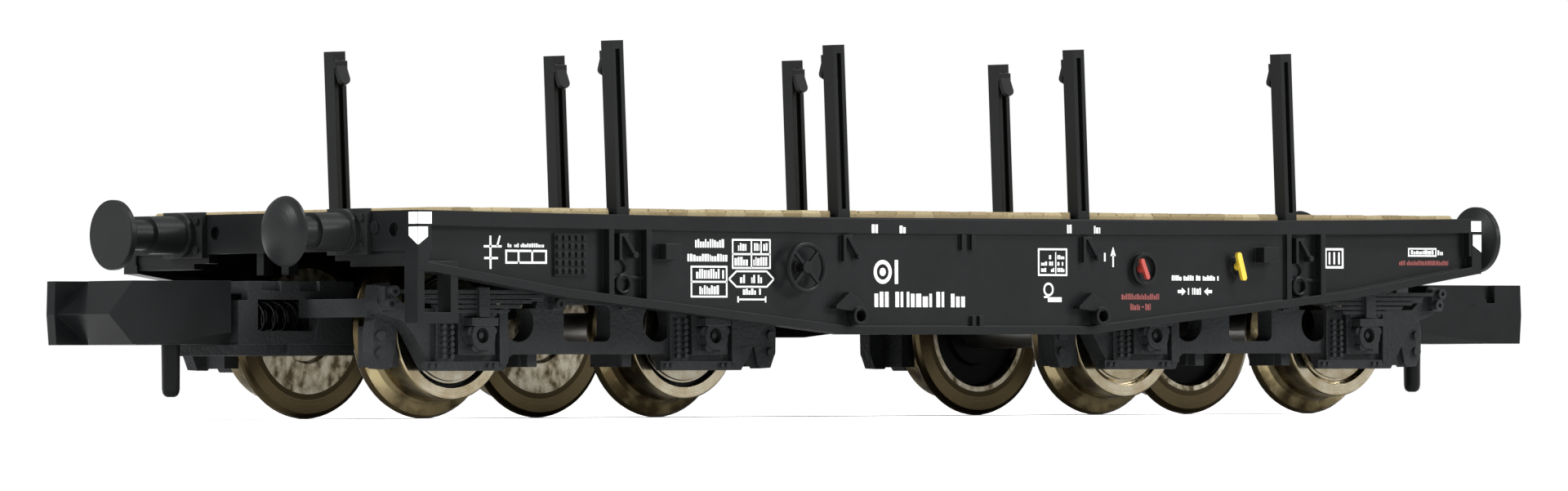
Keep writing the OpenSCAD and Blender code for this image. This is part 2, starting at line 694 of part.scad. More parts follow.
// Column of spring coils beside a box
stud_pitch = 0.24;
module stud_column(x) {
    block(x - 0.45, x + 0.45, side_out - eps, side_out + 0.2, tie_z + 0.3, side_high - 0.95);
    for (dx = [-0.26, 0.16], i = [0 : 6])
        bar_y(x + dx, tie_z + 0.6 + i * stud_pitch, 0.1, side_out, side_out + 0.4, 16);
}

module axle_box(x) {
    block(x - 0.95, x + 0.95, side_out - eps, side_out + 0.35, axle_z - 1.05, axle_z + 0.85);
    box_cover(x);
    block(x - 1.72, x - 1.28, side_out - eps, side_out + 0.28, tie_z + 0.3, side_high - 0.95);
    stud_column(x + 1.55);
    // bar under the box with its bolt pairs
    block(x - 1.2, x + 2.6, side_out - eps, side_out + 0.3, tie_z, tie_z + 0.38);
    for (dx = [-0.95, -0.65, 2.05, 2.35])
        bar_y(x + dx, tie_z + 0.2, 0.1, side_out, side_out + 0.42, 16);
}

// A shackle bracket at a spring's end, with two bolt heads
module shackle(x) {
    block(x - 0.3, x + 0.3, side_out - eps, side_out + 0.35, side_high - 1, side_high - 0.05);
    for (p = [[-0.08, -0.25], [0.1, -0.75]]) difference() {
        bar_y(x + p[0], side_high + p[1], 0.22, side_out, side_out + 0.62, 24);
        bar_y(x + p[0], side_high + p[1], 0.1, side_out + 0.5, side_out + 1, 16);
    }
}

// Brake block and hanger beyond the outer side of a wheel, on the +X side
module brake_block() {
    x0 = wheelbase / 2 + wheel_r + 0.3;
    shoe_x = x0 + 0.55;
    difference() {
        block(x0 - 0.2, shoe_x, back_y + flange_w + 0.25, face_y + 0.35, 1.4, 3.1);
        bar_y(wheelbase / 2, axle_z, wheel_r + 0.3, 0, side_y, 64);
    }
    xz(face_y - 0.1, side_y + 0.15) polygon([
        [x0 + 0.05, 3.05], [x0 + 0.1, 2.3], [x0 + 0.3, 1.5], [x0 + 0.45, 1.32], [x0 + 1, 1.35],
        [x0 + 1.28, 2], [x0 + 1.3, 2.9], [x0 + 1.15, 3.6], [x0 + 0.7, 3.9]]);
    for (z = [2, 2.7])
        bar_y(x0 + 0.95, z, 0.2, side_y, side_y + 0.3, 24);
}

// Small brake block on the inner side of a wheel, on the +X side of the bogie
module inner_block() {
    x1 = wheelbase / 2 - wheel_r - 0.3;
    block(x1 - 0.75, x1 - 0.1, back_y + flange_w + 0.3, side_y - 0.15, 1.4, 2.1);
    block(x1 - 0.7, x1 - 0.2, side_y - 0.4, side_y + 0.3, 1.4, 2.6);
}

module side_frame() {
    axle_x = wheelbase / 2;
    difference() {
        xz(side_y, side_out) side_outline();
        xz(side_y - 1, side_out + 1) side_holes();
    }
    for (x = [-axle_x, axle_x]) {
        leaf_spring(x);
        axle_box(x);
    }
    for (x = [-axle_x - 4.5, -axle_x + 4.37, axle_x - 4.37, axle_x + 4.5])
        shackle(x);
    mirrored([1, 0, 0]) {
        brake_block();
        inner_block();
    }
}

// Pocket that holds the coupler's tail and its spring, on the -X side of bogie A
module coupler_pocket() {
    difference() {
        block(-pocket_x, -pocket_back, -pocket_y, pocket_y, pocket_z, pocket_top);
        coupler_room();
        // mouth for the coupler's neck
        block(-pocket_x - 1, -pocket_x + 1, -1.1, 1.1, pocket_z - 1, pocket_roof);
        // front of the top set back, so that the head can rise
        block(-pocket_x - 1, -pocket_front, -pocket_y - 1, pocket_y + 1, pocket_top - 0.78, pocket_top + 1);
        // windows in the side walls
        mirrored([0, 1, 0])
            block(-pocket_x + 1, -pocket_x + 4, pocket_in - 0.5, pocket_y + 1,
                pocket_z + 0.55, pocket_top - 0.75);
        for (x = [-pocket_x + 1.2, -pocket_x + 3.2], s = [-1, 1])
            translate([x + 0.5, s * pocket_y, pocket_top]) cube([1, 0.4, 0.8], center = true);
    }
    mirrored([0, 1, 0])
        xz(pocket_y - eps, pocket_y + 0.25) polygon([
            [-pocket_back - 2.3, pocket_z], [-pocket_back, pocket_z],
            [-pocket_back, pocket_top - 0.9], [-pocket_back - 1.9, pocket_top - 0.9]]);
}

module bogie_frame(e) color(moulding) lift() at_end(e) {
    pocket_l = pocket_back - king_x;
    difference() {
        translate([-king_x, 0, 0]) union() {
            both() side_frame();
            // bolster, spine towards the coupler and bars across the ends
            block(-bolster_x, bolster_x, -side_y - eps, side_y + eps, bolster_z, side_high);
            block(-bolster_x, bolster_x, -4.2, 4.2, bolster_z, bolster_top);
            block(-pocket_l - eps, -bolster_x + eps, -1.8, 1.8, bolster_z, side_high);
            mirrored([1, 0, 0])
                block(end_bar_x, end_bar_x + bar_t, -side_y - eps, side_y + eps, bar_low, bar_high);
            block(-end_bar_x - bar_t, -end_bar_x, -2, 2, bar_low, side_high);
        }
        translate([-king_x, 0, 0]) cylinder(r = king_r + king_gap, h = 9);
        mirrored([0, 1, 0])
            for (x = [-king_x - wheelbase / 2, -king_x + wheelbase / 2])
                journal_bore(x);
        coupler_room();
    }
    coupler_pocket();
}

// Bearing for one end of an axle: a bore that ends in a cone
module journal_bore(x) translate([x, side_y - 0.5, axle_z]) rotate([-90, 0, 0]) {
    r = journal_r + journal_gap;
    straight = axle_len / 2 - point_len - side_y + 0.5 + journal_gap;
    cylinder(r = r, h = straight + eps);
    translate([0, 0, straight]) cylinder(r1 = r, r2 = 0.04, h = point_len + journal_gap);
}

// Room for the coupler's tail and its spring
module coupler_room() block(-pocket_front, -pocket_rear, -pocket_in, pocket_in, pocket_z - 1, pocket_roof);

module pocket_cover(e) color(plastic) lift() at_end(e) difference() {
    block(-pocket_x - 0.15, -pocket_back, -pocket_y, pocket_y, pocket_z - cover_t, pocket_z);
    for (s = [-1, 1])
        translate([-pocket_x + 2, s * pocket_y, pocket_z - cover_t / 2])
            cube([1.1, 0.7, 2], center = true);
    // slot between the clips at the rear
    block(-pocket_back - 1.4, -pocket_back - 1, -1.2, 1.2, pocket_z - 1, pocket_z + 1);
}

// ---- Couplers ------------------------------------------------------------

tail_t = 0.4;
spring_r = 0.62;
spring_wire = 0.1;
spring_turns = 7;
spring_sides = 8;
spring_rings = 16;

// A point of the coil's skin: ring i along the coil, corner k around the wire
function coil_point(i, k, x0, pitch) = let (
        a = 360 * i / spring_rings,
        b = 360 * k / spring_sides,
        r = spring_r + spring_wire * cos(b))
    [x0 + pitch * i / spring_rings + spring_wire * sin(b), r * cos(a), pivot_z + r * sin(a)];

// Coil spring between the coupler's tail and the pocket's rear wall
module coupler_spring(e) color(steel) lift() at_end(e) {
    x0 = -pivot_x + tail_t / 2 + spring_wire + 0.06;
    x1 = -pocket_rear - spring_wire - 0.03;
    steps = spring_turns * spring_rings;
    n = spring_sides;
    pts = [for (i = [0 : steps], k = [0 : n - 1]) coil_point(i, k, x0, (x1 - x0) / spring_turns)];
    skin = [for (i = [0 : steps - 1], k = [0 : n - 1])
        [i * n + k, i * n + (k + 1) % n, (i + 1) * n + (k + 1) % n, (i + 1) * n + k]];
    first = [for (k = [n - 1 : -1 : 0]) k];
    last = [for (k = [0 : n - 1]) steps * n + k];
    polyhedron(pts, concat([first], skin, [last]), convexity = 10);
}

// Hook coupler of end A: a wedge-nosed head with a horn on the far side
module coupler(e) color(plastic) lift() at_end(e) {
    nose_x = -tip_x + wedge_len;
    mid_z = (head_z + head_top) / 2 - 0.05;
    horn_y = 0.9;
    difference() {
        union() {
            block(nose_x - eps, -head_x, -head_y, head_y, head_z, head_top);
            xz(-head_y, -0.45) polygon([[nose_x, head_z], [nose_x, head_top], [-tip_x, mid_z]]);
            xz(-0.45 - eps, horn_y + eps)
                polygon([[nose_x, head_z], [nose_x, head_top], [-tip_x + 0.45, mid_z]]);
            xz(horn_y, head_y) polygon([[nose_x, head_z], [nose_x, head_top], [-tip_x + 0.15, head_top],
                [-tip_x + 0.02, mid_z], [-tip_x + 0.12, head_z]]);
        }
        // mouth that the next coupler's hook drops into
        block(nose_x + 0.75, -head_x - 2.1, -1.45, 1.3, head_z - 1, head_top + 1);
        // notch in the horn's wall
        xz(horn_y - 0.3, head_y + 1) polygon([[nose_x + 0.25, head_top + eps],
            [nose_x + 0.25, head_top - 0.92], [nose_x + 1.25, head_top + eps]]);
        // relief under the rear of the head
        xz(-head_y - 1, head_y + 1) polygon([[-head_x + eps, head_z - eps],
            [-head_x + eps, head_z + 0.5], [-head_x - 2.2, head_z - eps]]);
    }
    // uncoupling pin with a round end
    translate([-head_x - trip_back, 0, trip_z + trip_r]) {
        cylinder(r = trip_r, h = head_z + 0.6 - trip_z - trip_r, $fn = 32);
        sphere(trip_r, $fn = 32);
    }
    // neck and T-shaped tail
    block(-head_x - eps, -pivot_x + eps, -0.75, 0.75, pivot_z - 0.55, pivot_z + 0.55);
    block(-pivot_x - tail_t / 2, -pivot_x + tail_t / 2, -1.6, 1.6, pivot_z - 0.65, pivot_z + 0.65);
}

// ---- Wheelsets -----------------------------------------------------------

point_len = 0.62;

// Places a wheelset's piece: 1 is end A's outer axle and 4 is end B's outer axle
module at_axle(i) {
    e = i > 2 ? 1 : 0;
    outer = i == 1 || i == 4 ? 1 : -1;
    at_end(e) translate([-king_x - outer * wheelbase / 2, 0, axle_z]) children();
}

module axle(i) color(steel) lift() at_axle(i) rotate([-90, 0, 0]) {
    shoulder = face_y + 0.1;
    half = axle_len / 2;
    rotate_extrude() polygon([[0, -half], [journal_r, -half + point_len], [journal_r, -shoulder],
        [axle_r, -shoulder + 0.1], [axle_r, shoulder - 0.1], [journal_r, shoulder],
        [journal_r, half - point_len], [0, half]]);
}

// Tread and flange outline, from the wheel's back (0) to its face; r_in is the bore
function rim_points(r_in) = [
    [r_in, 0], [wheel_r + flange_depth - 0.22, 0], [wheel_r + flange_depth - 0.05, 0.08],
    [wheel_r + flange_depth, flange_w * 0.45], [wheel_r + flange_depth - 0.12, flange_w * 0.8],
    [wheel_r + 0.15, flange_w + 0.05], [wheel_r, flange_w + 0.25],
    [wheel_r - 0.05, wheel_w - 0.06], [wheel_r - 0.11, wheel_w]];

// One-piece metal wheel with a turned groove and a stepped disc, on the far side of end A
module solid_wheel(i) color(bronze) lift() at_axle(i) translate([0, back_y, 0]) rotate([-90, 0, 0])
    rotate_extrude($fn = 96) polygon(concat([[axle_r + press_gap, 0.25], [1.25, 0.25], [1.35, 0]],
        [for (i = [1 : 8]) rim_points(0)[i]],
        [[centre_r, wheel_w], [centre_r - 0.02, wheel_w - 0.4]], disc_steps(), [[axle_r + press_gap, 0.3]]));

// Stepped disc inside the groove of a wheel's face
function disc_steps() = [
    [disc_r, wheel_w - 0.4], [disc_r - 0.02, wheel_w - 0.14], [disc_r - 0.11, wheel_w - 0.14],
    [disc_r - 0.13, wheel_w - 0.04], [1.55, wheel_w - 0.04], [1.5, wheel_w - 0.22],
    [1.05, wheel_w - 0.22], [1, wheel_w - 0.05], [axle_r + press_gap, wheel_w - 0.05]];

// Metal tyre of the insulated wheel, on the near side of end A
module wheel_tyre(i) color(bronze) lift() at_axle(i) translate([0, -back_y, 0]) rotate([90, 0, 0])
    rotate_extrude($fn = 96) polygon(concat(rim_points(centre_r + press_gap),
        [[centre_r + press_gap, wheel_w]]));

module insulating_centre(i) color(plastic) lift() at_axle(i) translate([0, -back_y, 0])
    rotate([90, 0, 0]) rotate_extrude($fn = 96) polygon(concat([
        [axle_r + press_gap, 0.2], [1.4, 0.2], [1.5, 0.45], [centre_r - 0.1, 0.45], [centre_r, 0.3],
        [centre_r, wheel_w - 0.4]], disc_steps()));

underframe();
deck_planks();
ballast_plate();
buffer(-1, true);  // buffer_a_near
buffer(1, false);  // buffer_a_far
at_end(1) buffer(1, false);  // buffer_b_near
at_end(1) buffer(-1, true);  // buffer_b_far
brake_wheel(0);  // brake_wheel_near
brake_wheel(1);  // brake_wheel_far
brake_lever(0);  // brake_lever_near
brake_lever(1);  // brake_lever_far
load_lever(0);  // load_lever_near
load_lever(1);  // load_lever_far
stake(0, -1);  // stake_near_1
stake(1, -1);  // stake_near_2
stake(2, -1);  // stake_near_3
stake(3, -1);  // stake_near_4
stake(0, 1);  // stake_far_1
stake(1, 1);  // stake_far_2
stake(2, 1);  // stake_far_3
stake(3, 1);  // stake_far_4
king_pin(0);  // king_pin_a
king_pin(1);  // king_pin_b
bogie_frame(0);  // bogie_frame_a
bogie_frame(1);  // bogie_frame_b
pocket_cover(0);  // pocket_cover_a
pocket_cover(1);  // pocket_cover_b
coupler_spring(0);  // coupler_spring_a
coupler_spring(1);  // coupler_spring_b
coupler(0);  // coupler_a
coupler(1);  // coupler_b
axle(1);  // axle_1
axle(2);  // axle_2
axle(3);  // axle_3
axle(4);  // axle_4
solid_wheel(1);  // solid_wheel_1
solid_wheel(2);  // solid_wheel_2
solid_wheel(3);  // solid_wheel_3
solid_wheel(4);  // solid_wheel_4
wheel_tyre(1);  // wheel_tyre_1
wheel_tyre(2);  // wheel_tyre_2
wheel_tyre(3);  // wheel_tyre_3
wheel_tyre(4);  // wheel_tyre_4
insulating_centre(1);  // insulating_centre_1
insulating_centre(2);  // insulating_centre_2
insulating_centre(3);  // insulating_centre_3
insulating_centre(4);  // insulating_centre_4
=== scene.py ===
"""Looks of the 1:160 heavy flat wagon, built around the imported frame.

Metres throughout; MM turns millimetres into metres. +X runs towards end B, +Y to the far
side and +Z up. Whatever repeats at the other end is turned half round about Z.
"""

import math
import random

import bmesh
import bpy
from mathutils import Matrix, Vector
from mathutils.bvhtree import BVHTree


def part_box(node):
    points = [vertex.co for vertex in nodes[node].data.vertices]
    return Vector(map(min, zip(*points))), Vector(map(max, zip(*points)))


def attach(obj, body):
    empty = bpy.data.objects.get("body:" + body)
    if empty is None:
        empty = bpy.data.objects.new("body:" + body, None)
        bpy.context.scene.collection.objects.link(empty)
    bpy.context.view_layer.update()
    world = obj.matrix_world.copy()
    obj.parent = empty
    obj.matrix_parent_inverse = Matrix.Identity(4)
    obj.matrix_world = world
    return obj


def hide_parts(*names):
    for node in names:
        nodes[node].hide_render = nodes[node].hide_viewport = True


MM = 0.001
ENDS = {"a": Matrix.Identity(4), "b": Matrix.Rotation(math.pi, 4, "Z")}

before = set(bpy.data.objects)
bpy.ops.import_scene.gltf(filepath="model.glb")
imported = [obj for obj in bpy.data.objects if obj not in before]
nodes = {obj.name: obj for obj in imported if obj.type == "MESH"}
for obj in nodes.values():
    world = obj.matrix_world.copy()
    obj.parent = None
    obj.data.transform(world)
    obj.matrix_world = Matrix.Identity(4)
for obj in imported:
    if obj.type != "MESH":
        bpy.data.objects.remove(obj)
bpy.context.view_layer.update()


def centre(node):
    low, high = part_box(node)
    return (low + high) / 2


# ---- Places taken from the frame ---------------------------------------------

FLANGE_DEPTH = 0.7 * MM
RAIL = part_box("wheel_tyre_1")[0].z + FLANGE_DEPTH  # the height that the treads stand on
WHEELSETS = [1, 2, 3, 4]
STAKES = [n for n in nodes if n.startswith("stake_")]
BOARD_COUNT = 55
deck_low, deck_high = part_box("deck_planks")
BOARD_PITCH = (deck_high.x - deck_low.x) / BOARD_COUNT


# ---- Camera and lights ---------------------------------------------------------

CAMERA_DISTANCE = 512.5 * MM
CAMERA_BEARING = math.radians(40.67)  # where the camera stands, from straight in front towards end A
CAMERA_AIM = math.radians(40.507)  # which way it looks, by the same measure
CAMERA_PITCH = math.radians(0.748)
CAMERA_ROLL = math.radians(-0.273)
EYE_HEIGHT = 0.6 * MM
LENS = 275.7  # focal length and sensor width in millimetres
SENSOR_WIDTH = 36
CLIPPING = (0.01, 50)  # nearest and farthest distance seen


def make_camera():
    data = bpy.data.cameras.new("camera")
    data.lens = LENS
    data.sensor_width = SENSOR_WIDTH
    data.clip_start, data.clip_end = CLIPPING
    camera = bpy.data.objects.new("camera", data)
    bpy.context.scene.collection.objects.link(camera)
    spot = Vector((-math.sin(CAMERA_BEARING), -math.cos(CAMERA_BEARING), 0)) * CAMERA_DISTANCE
    spot.z = EYE_HEIGHT
    turn = Matrix.Rotation(-CAMERA_AIM, 4, "Z")
    tilt = Matrix.Rotation(math.pi / 2 + CAMERA_PITCH, 4, "X")
    roll = Matrix.Rotation(CAMERA_ROLL, 4, "Z")
    camera.matrix_world = Matrix.Translation(spot) @ turn @ tilt @ roll
    bpy.context.scene.camera = camera


SKY_SEEN = 1.0  # the backdrop's brightness as the camera sees it
SKY_LIGHT = 0.5  # and as it lights the wagon
SUN_POWER = 2.9
SUN_FROM = (0.42, -0.5, 0.9)
SUN_SPREAD = math.radians(14)
# Name, place, size and power
SOFTBOXES = [("key", (0.45, -0.5, 0.25), 0.2, 2), ("rim", (-0.5, 0.12, 0.3), 0.22, 3)]
WAGON_MIDDLE = Vector((0, 0, 6 * MM))


def soft_light(name, spot, size, power):
    """A square softbox at spot, in metres, that faces the wagon's middle."""
    data = bpy.data.lights.new(name, "AREA")
    data.shape = "SQUARE"
    data.size = size
    data.energy = power
    light = bpy.data.objects.new(name, data)
    bpy.context.scene.collection.objects.link(light)
    light.location = spot
    aim = WAGON_MIDDLE - Vector(spot)
    light.rotation_euler = aim.to_track_quat("-Z", "Y").to_euler()
    light.visible_camera = False


def sun():
    """Even, slightly softened light from one direction."""
    data = bpy.data.lights.new("sun", "SUN")
    data.energy = SUN_POWER
    data.angle = SUN_SPREAD
    light = bpy.data.objects.new("sun", data)
    bpy.context.scene.collection.objects.link(light)
    light.rotation_euler = (-Vector(SUN_FROM)).to_track_quat("-Z", "Y").to_euler()


def make_lights():
    """A white backdrop that lights the wagon only weakly, a sun and two softboxes."""
    world = bpy.data.worlds.new("studio")
    bpy.context.scene.world = world
    world.use_nodes = True
    tree = world.node_tree
    sky = tree.nodes["Background"]
    sky.inputs["Color"].default_value = (1, 1, 1, 1)
    seen = tree.nodes.new("ShaderNodeLightPath").outputs["Is Camera Ray"]
    level = tree.nodes.new("ShaderNodeMapRange")
    level.inputs["To Min"].default_value = SKY_LIGHT
    level.inputs["To Max"].default_value = SKY_SEEN
    tree.links.new(seen, level.inputs["Value"])
    tree.links.new(level.outputs["Result"], sky.inputs["Strength"])
    sun()
    for box in SOFTBOXES:
        soft_light(*box)
    bpy.context.scene.view_settings.view_transform = "Standard"


# ---- Materials ------------------------------------------------------------------

def tinted(color, factors):
    """A colour with each channel times its own factor."""
    return tuple(c * k for c, k in zip(color, factors))


def dimmed(color, factor):
    return tuple(c * factor for c in color)


class Shader:
    """A Principled material with helpers for its procedural nodes. Sizes are in metres."""

    def __init__(self, name):
        self.material = bpy.data.materials.new(name)
        self.material.use_nodes = True
        self.tree = self.material.node_tree
        self.bsdf = self.tree.nodes["Principled BSDF"]
        self.place = self.node("ShaderNodeTexCoord").outputs["Object"]

    def node(self, kind, **settings):
        made = self.tree.nodes.new(kind)
        for key, value in settings.items():
            setattr(made, key, value)
        return made

    def feed(self, node, **inputs):
        """Sets a node's inputs, by name with _ for a space, from values or sockets."""
        for key, value in inputs.items():
            socket = node.inputs[key.replace("_", " ")]
            if isinstance(value, bpy.types.NodeSocket):
                self.tree.links.new(value, socket)
            else:
                socket.default_value = value
        return node

    def stretched(self, along):
        """The place, squeezed by a factor along each axis."""
        node = self.node("ShaderNodeVectorMath", operation="MULTIPLY")
        self.tree.links.new(self.place, node.inputs[0])
        node.inputs[1].default_value = along
        return node.outputs[0]

    def along(self, axis):
        """The place's X, Y or Z."""
        split = self.node("ShaderNodeSeparateXYZ")
        self.tree.links.new(self.place, split.inputs[0])
        return split.outputs[axis]

    def noise(self, size, detail=3, place=None):
        """Noise whose blotches are about size across."""
        node = self.node("ShaderNodeTexNoise")
        self.feed(node, Vector=place or self.place, Scale=1 / size, Detail=detail)
        return node.outputs["Fac"]

    def ramp(self, value, *stops):
        """A blend through stops, each a position with a colour or a grey level."""
        node = self.node("ShaderNodeValToRGB")
        self.tree.links.new(value, node.inputs["Fac"])
        steps = node.color_ramp.elements
        while len(steps) < len(stops):
            steps.new(0.5)
        for step, (position, color) in zip(steps, stops):
            step.position = position
            step.color = (*color, 1) if isinstance(color, tuple) else (color, color, color, 1)
        return node.outputs["Color"]

    def mix(self, factor, first, second, blend="MIX"):
        node = self.node("ShaderNodeMix", data_type="RGBA", blend_type=blend)
        sockets = (node.inputs[0], node.inputs[6], node.inputs[7])
        for socket, value in zip(sockets, (factor, first, second)):
            if isinstance(value, bpy.types.NodeSocket):
                self.tree.links.new(value, socket)
            else:
                socket.default_value = (*value, 1) if isinstance(value, tuple) else value
        return node.outputs[2]

    def math(self, operation, first, second=0.0):
        node = self.node("ShaderNodeMath", operation=operation)
        for socket, value in zip(node.inputs, (first, second)):
            if isinstance(value, bpy.types.NodeSocket):
                self.tree.links.new(value, socket)
            else:
                socket.default_value = value
        return node.outputs[0]

    def span(self, value, low, high):
        """Maps 0..1 to low..high."""
        node = self.node("ShaderNodeMapRange")
        self.feed(node, Value=value, To_Min=low, To_Max=high)
        return node.outputs["Result"]

    def rounded(self, radius):
        """A normal that rounds the edges off."""
        node = self.node("ShaderNodeBevel", samples=6)
        node.inputs["Radius"].default_value = radius
        return node.outputs["Normal"]

    def edges(self, rounded, gain=3.0):
        """1 along edges and 0 on flat faces, from the rounded normal and the true one."""
        true = self.node("ShaderNodeNewGeometry").outputs["Normal"]
        dot = self.node("ShaderNodeVectorMath", operation="DOT_PRODUCT")
        self.tree.links.new(rounded, dot.inputs[0])
        self.tree.links.new(true, dot.inputs[1])
        away = self.math("SUBTRACT", 1.0, dot.outputs["Value"])
        scaled = self.node("ShaderNodeMath", operation="MULTIPLY", use_clamp=True)
        self.tree.links.new(away, scaled.inputs[0])
        scaled.inputs[1].default_value = gain
        return scaled.outputs[0]

    def bump(self, height, depth, strength=1.0, normal=None):
        """A normal that follows height, 0..1, over depth."""
        node = self.node("ShaderNodeBump")
        self.feed(node, Height=height, Distance=depth, Strength=strength)
        if normal is not None:
            self.tree.links.new(normal, node.inputs["Normal"])
        return node.outputs["Normal"]

    def finish(self, **inputs):
        """Feeds the Principled shader and gives the material."""
        self.feed(self.bsdf, **inputs)
        return self.material


PLASTIC_EDGE = 0.045 * MM
METAL_EDGE = 0.03 * MM
EDGE_HIGHLIGHT_LIFT = 0.004  # added to the colour of the painted edge highlight, so that black edges show it too


def moulded_plastic(name, color, rough, grain=0.35, edge_highlight=2.6, grain_size=0.09 * MM,
                    grain_depth=0.012 * MM):
    """Satin plastic: fine spark-eroded grain, faint cloudiness and a painted highlight on the edges."""
    s = Shader(name)
    cloud = s.noise(2.6 * MM, 4)
    fine = s.noise(grain_size, 2)
    base = s.ramp(cloud, (0.3, dimmed(color, 0.86)), (0.7, dimmed(color, 1.16)))
    rounded = s.rounded(PLASTIC_EDGE)
    # lighter edges: painted highlight, standing in for light caught by the rounded edges
    painted_light_tone = s.mix(s.edges(rounded), base, tuple(c * edge_highlight + EDGE_HIGHLIGHT_LIFT for c in color))
    return s.finish(
        Base_Color=painted_light_tone,
        Roughness=s.span(s.noise(0.5 * MM, 3), rough - 0.07, rough + 0.09),
        Normal=s.bump(fine, grain_depth, grain, rounded),
        Specular_IOR_Level=0.11)


def paint(name, color, rough=0.5):
    """Pad-printed ink: slightly uneven in tone, with a dry surface."""
    s = Shader(name)
    patch = s.noise(0.22 * MM, 4)
    tone = s.ramp(patch, (0.25, dimmed(color, 0.86)), (0.6, color))
    return s.finish(Base_Color=tone, Roughness=rough,
                    Normal=s.bump(s.noise(0.06 * MM, 2), 0.004 * MM, 0.4))


def board_wood():
    """Pale bare wood: each board has its own tone, with grain along the board."""
    s = Shader("deck_board_wood")
    reach = s.math("SUBTRACT", s.along("X"), deck_low.x)
    number = s.math("FLOOR", s.math("DIVIDE", reach, BOARD_PITCH))
    tone = s.node("ShaderNodeTexWhiteNoise", noise_dimensions="1D")
    s.tree.links.new(number, tone.inputs["W"])
    board = s.ramp(tone.outputs["Value"], (0.0, (0.27, 0.215, 0.115)),
                   (0.5, (0.35, 0.285, 0.16)), (1.0, (0.45, 0.385, 0.235)))
    fibre = s.noise(0.055 * MM, 5, s.stretched((1, 0.09, 1)))
    streak = s.ramp(fibre, (0.3, (0.62, 0.56, 0.46)), (0.62, (1.0, 1.0, 1.0)))
    grainy = s.mix(0.75, board, streak, "MULTIPLY")
    speck = s.ramp(s.noise(0.16 * MM, 4), (0.32, (0.55, 0.46, 0.34)), (0.42, (1, 1, 1)))
    spotted = s.mix(0.55, grainy, speck, "MULTIPLY")
    return s.finish(Base_Color=spotted, Roughness=s.span(fibre, 0.62, 0.86),
                    Normal=s.bump(fibre, 0.02 * MM, 0.7), Specular_IOR_Level=0.25)


# A wheel's zones, by distance from its axle: cast face, back of the tyre with a painted dark reflection,
# tread
TYRE_START = 2.62 * MM
FACE_END = 2.85 * MM
TREAD_START = 2.86 * MM
CAST_BACK = 4.1 * MM  # inside this distance from the wagon's middle a wheel is left as cast
RING_SIZE = 0.03 * MM


def axle_distance(s, middle):
    """How far a point lies from the axle that runs through middle."""
    arm = s.node("ShaderNodeVectorMath", operation="SUBTRACT")
    s.tree.links.new(s.place, arm.inputs[0])
    arm.inputs[1].default_value = middle
    flat = s.node("ShaderNodeVectorMath", operation="MULTIPLY")
    s.tree.links.new(arm.outputs[0], flat.inputs[0])
    flat.inputs[1].default_value = (1, 0, 1)
    reach = s.node("ShaderNodeVectorMath", operation="LENGTH")
    s.tree.links.new(flat.outputs[0], reach.inputs[0])
    return reach.outputs["Value"]


def plated_tone(s, reach, color):
    """Stained plating on the faces, with a blotchy painted dark reflection on the tread and flange."""
    faces = s.ramp(s.noise(0.7 * MM, 5), (0.35, tinted(color, (0.72, 0.66, 0.56))), (0.62, color))
    # the tread and flange get blotchy darker tones: a painted dark reflection
    painted_light_tone = s.ramp(s.noise(1.1 * MM, 3), (0.4, tinted(color, (0.22, 0.18, 0.12))),
                  (0.6, tinted(color, (0.85, 0.78, 0.58))))
    return s.mix(s.math("GREATER_THAN", reach, TREAD_START), faces, painted_light_tone)


def turned_metal(name, middle, color, rough, cast=False):
    """Turned and plated wheel metal, with fine rings about the axle that runs through middle.

    With cast, the wheel's back is dull and streaky round its hub, and its tyre carries a painted dark
    reflection."""
    s = Shader(name)
    reach = axle_distance(s, middle)
    rings = s.node("ShaderNodeTexNoise", noise_dimensions="1D")
    s.feed(rings, W=reach, Scale=1 / RING_SIZE, Detail=3.0)
    height = rings.outputs["Fac"]
    tone = plated_tone(s, reach, color)
    roughness = s.span(height, rough - 0.06, rough + 0.14)
    if cast:
        back = s.math("LESS_THAN", s.math("ABSOLUTE", s.along("Y")), CAST_BACK)
        hub = s.math("MULTIPLY", back, s.math("LESS_THAN", reach, FACE_END))
        tyre = s.math("MULTIPLY", back, s.math("GREATER_THAN", reach, TYRE_START))
        streaks = s.noise(0.42 * MM, 8, s.stretched((1, 1, 0.7)))
        dull = s.ramp(streaks, (0.36, (0.17, 0.13, 0.075)), (0.48, (0.62, 0.54, 0.38)),
                      (0.62, (0.95, 0.88, 0.72)))
        # the back of the tyre is painted dark: a painted reflection
        tone = s.mix(tyre, s.mix(hub, tone, dull), tinted(color, (0.2, 0.17, 0.12)))
        roughness = s.math("ADD", roughness, s.math("MULTIPLY", hub, 0.22))
        height = s.mix(hub, height, streaks)
    return s.finish(Base_Color=tone, Metallic=1.0, Roughness=roughness,
                    Normal=s.bump(height, 0.004 * MM, 0.5, s.rounded(METAL_EDGE)))


def plain_steel(name, color, rough=0.35):
    """Drawn or rolled steel with fine lengthwise marks."""
    s = Shader(name)
    marks = s.noise(0.05 * MM, 4, s.stretched((0.15, 0.15, 1)))
    tone = s.ramp(s.noise(1.2 * MM, 4), (0.3, dimmed(color, 0.75)), (0.7, color))
    return s.finish(Base_Color=tone, Metallic=1.0,
                    Roughness=s.span(marks, rough - 0.08, rough + 0.12),
                    Normal=s.bump(marks, 0.004 * MM, 0.4, s.rounded(METAL_EDGE)))


def floor_paper():
    """Pale matt paper with a faint tooth."""
    s = Shader("floor_paper")
    tooth = s.noise(3 * MM, 3)
    tone = s.ramp(tooth, (0.2, 0.93), (0.8, 0.96))
    return s.finish(Base_Color=tone, Roughness=s.span(tooth, 0.85, 0.95), Specular_IOR_Level=0.0)


def dress(node, material):
    """Gives a CAD node one material."""
    data = nodes[node].data
    data.materials.clear()
    data.materials.append(material)


# ---- Mesh helpers -----------------------------------------------------------------

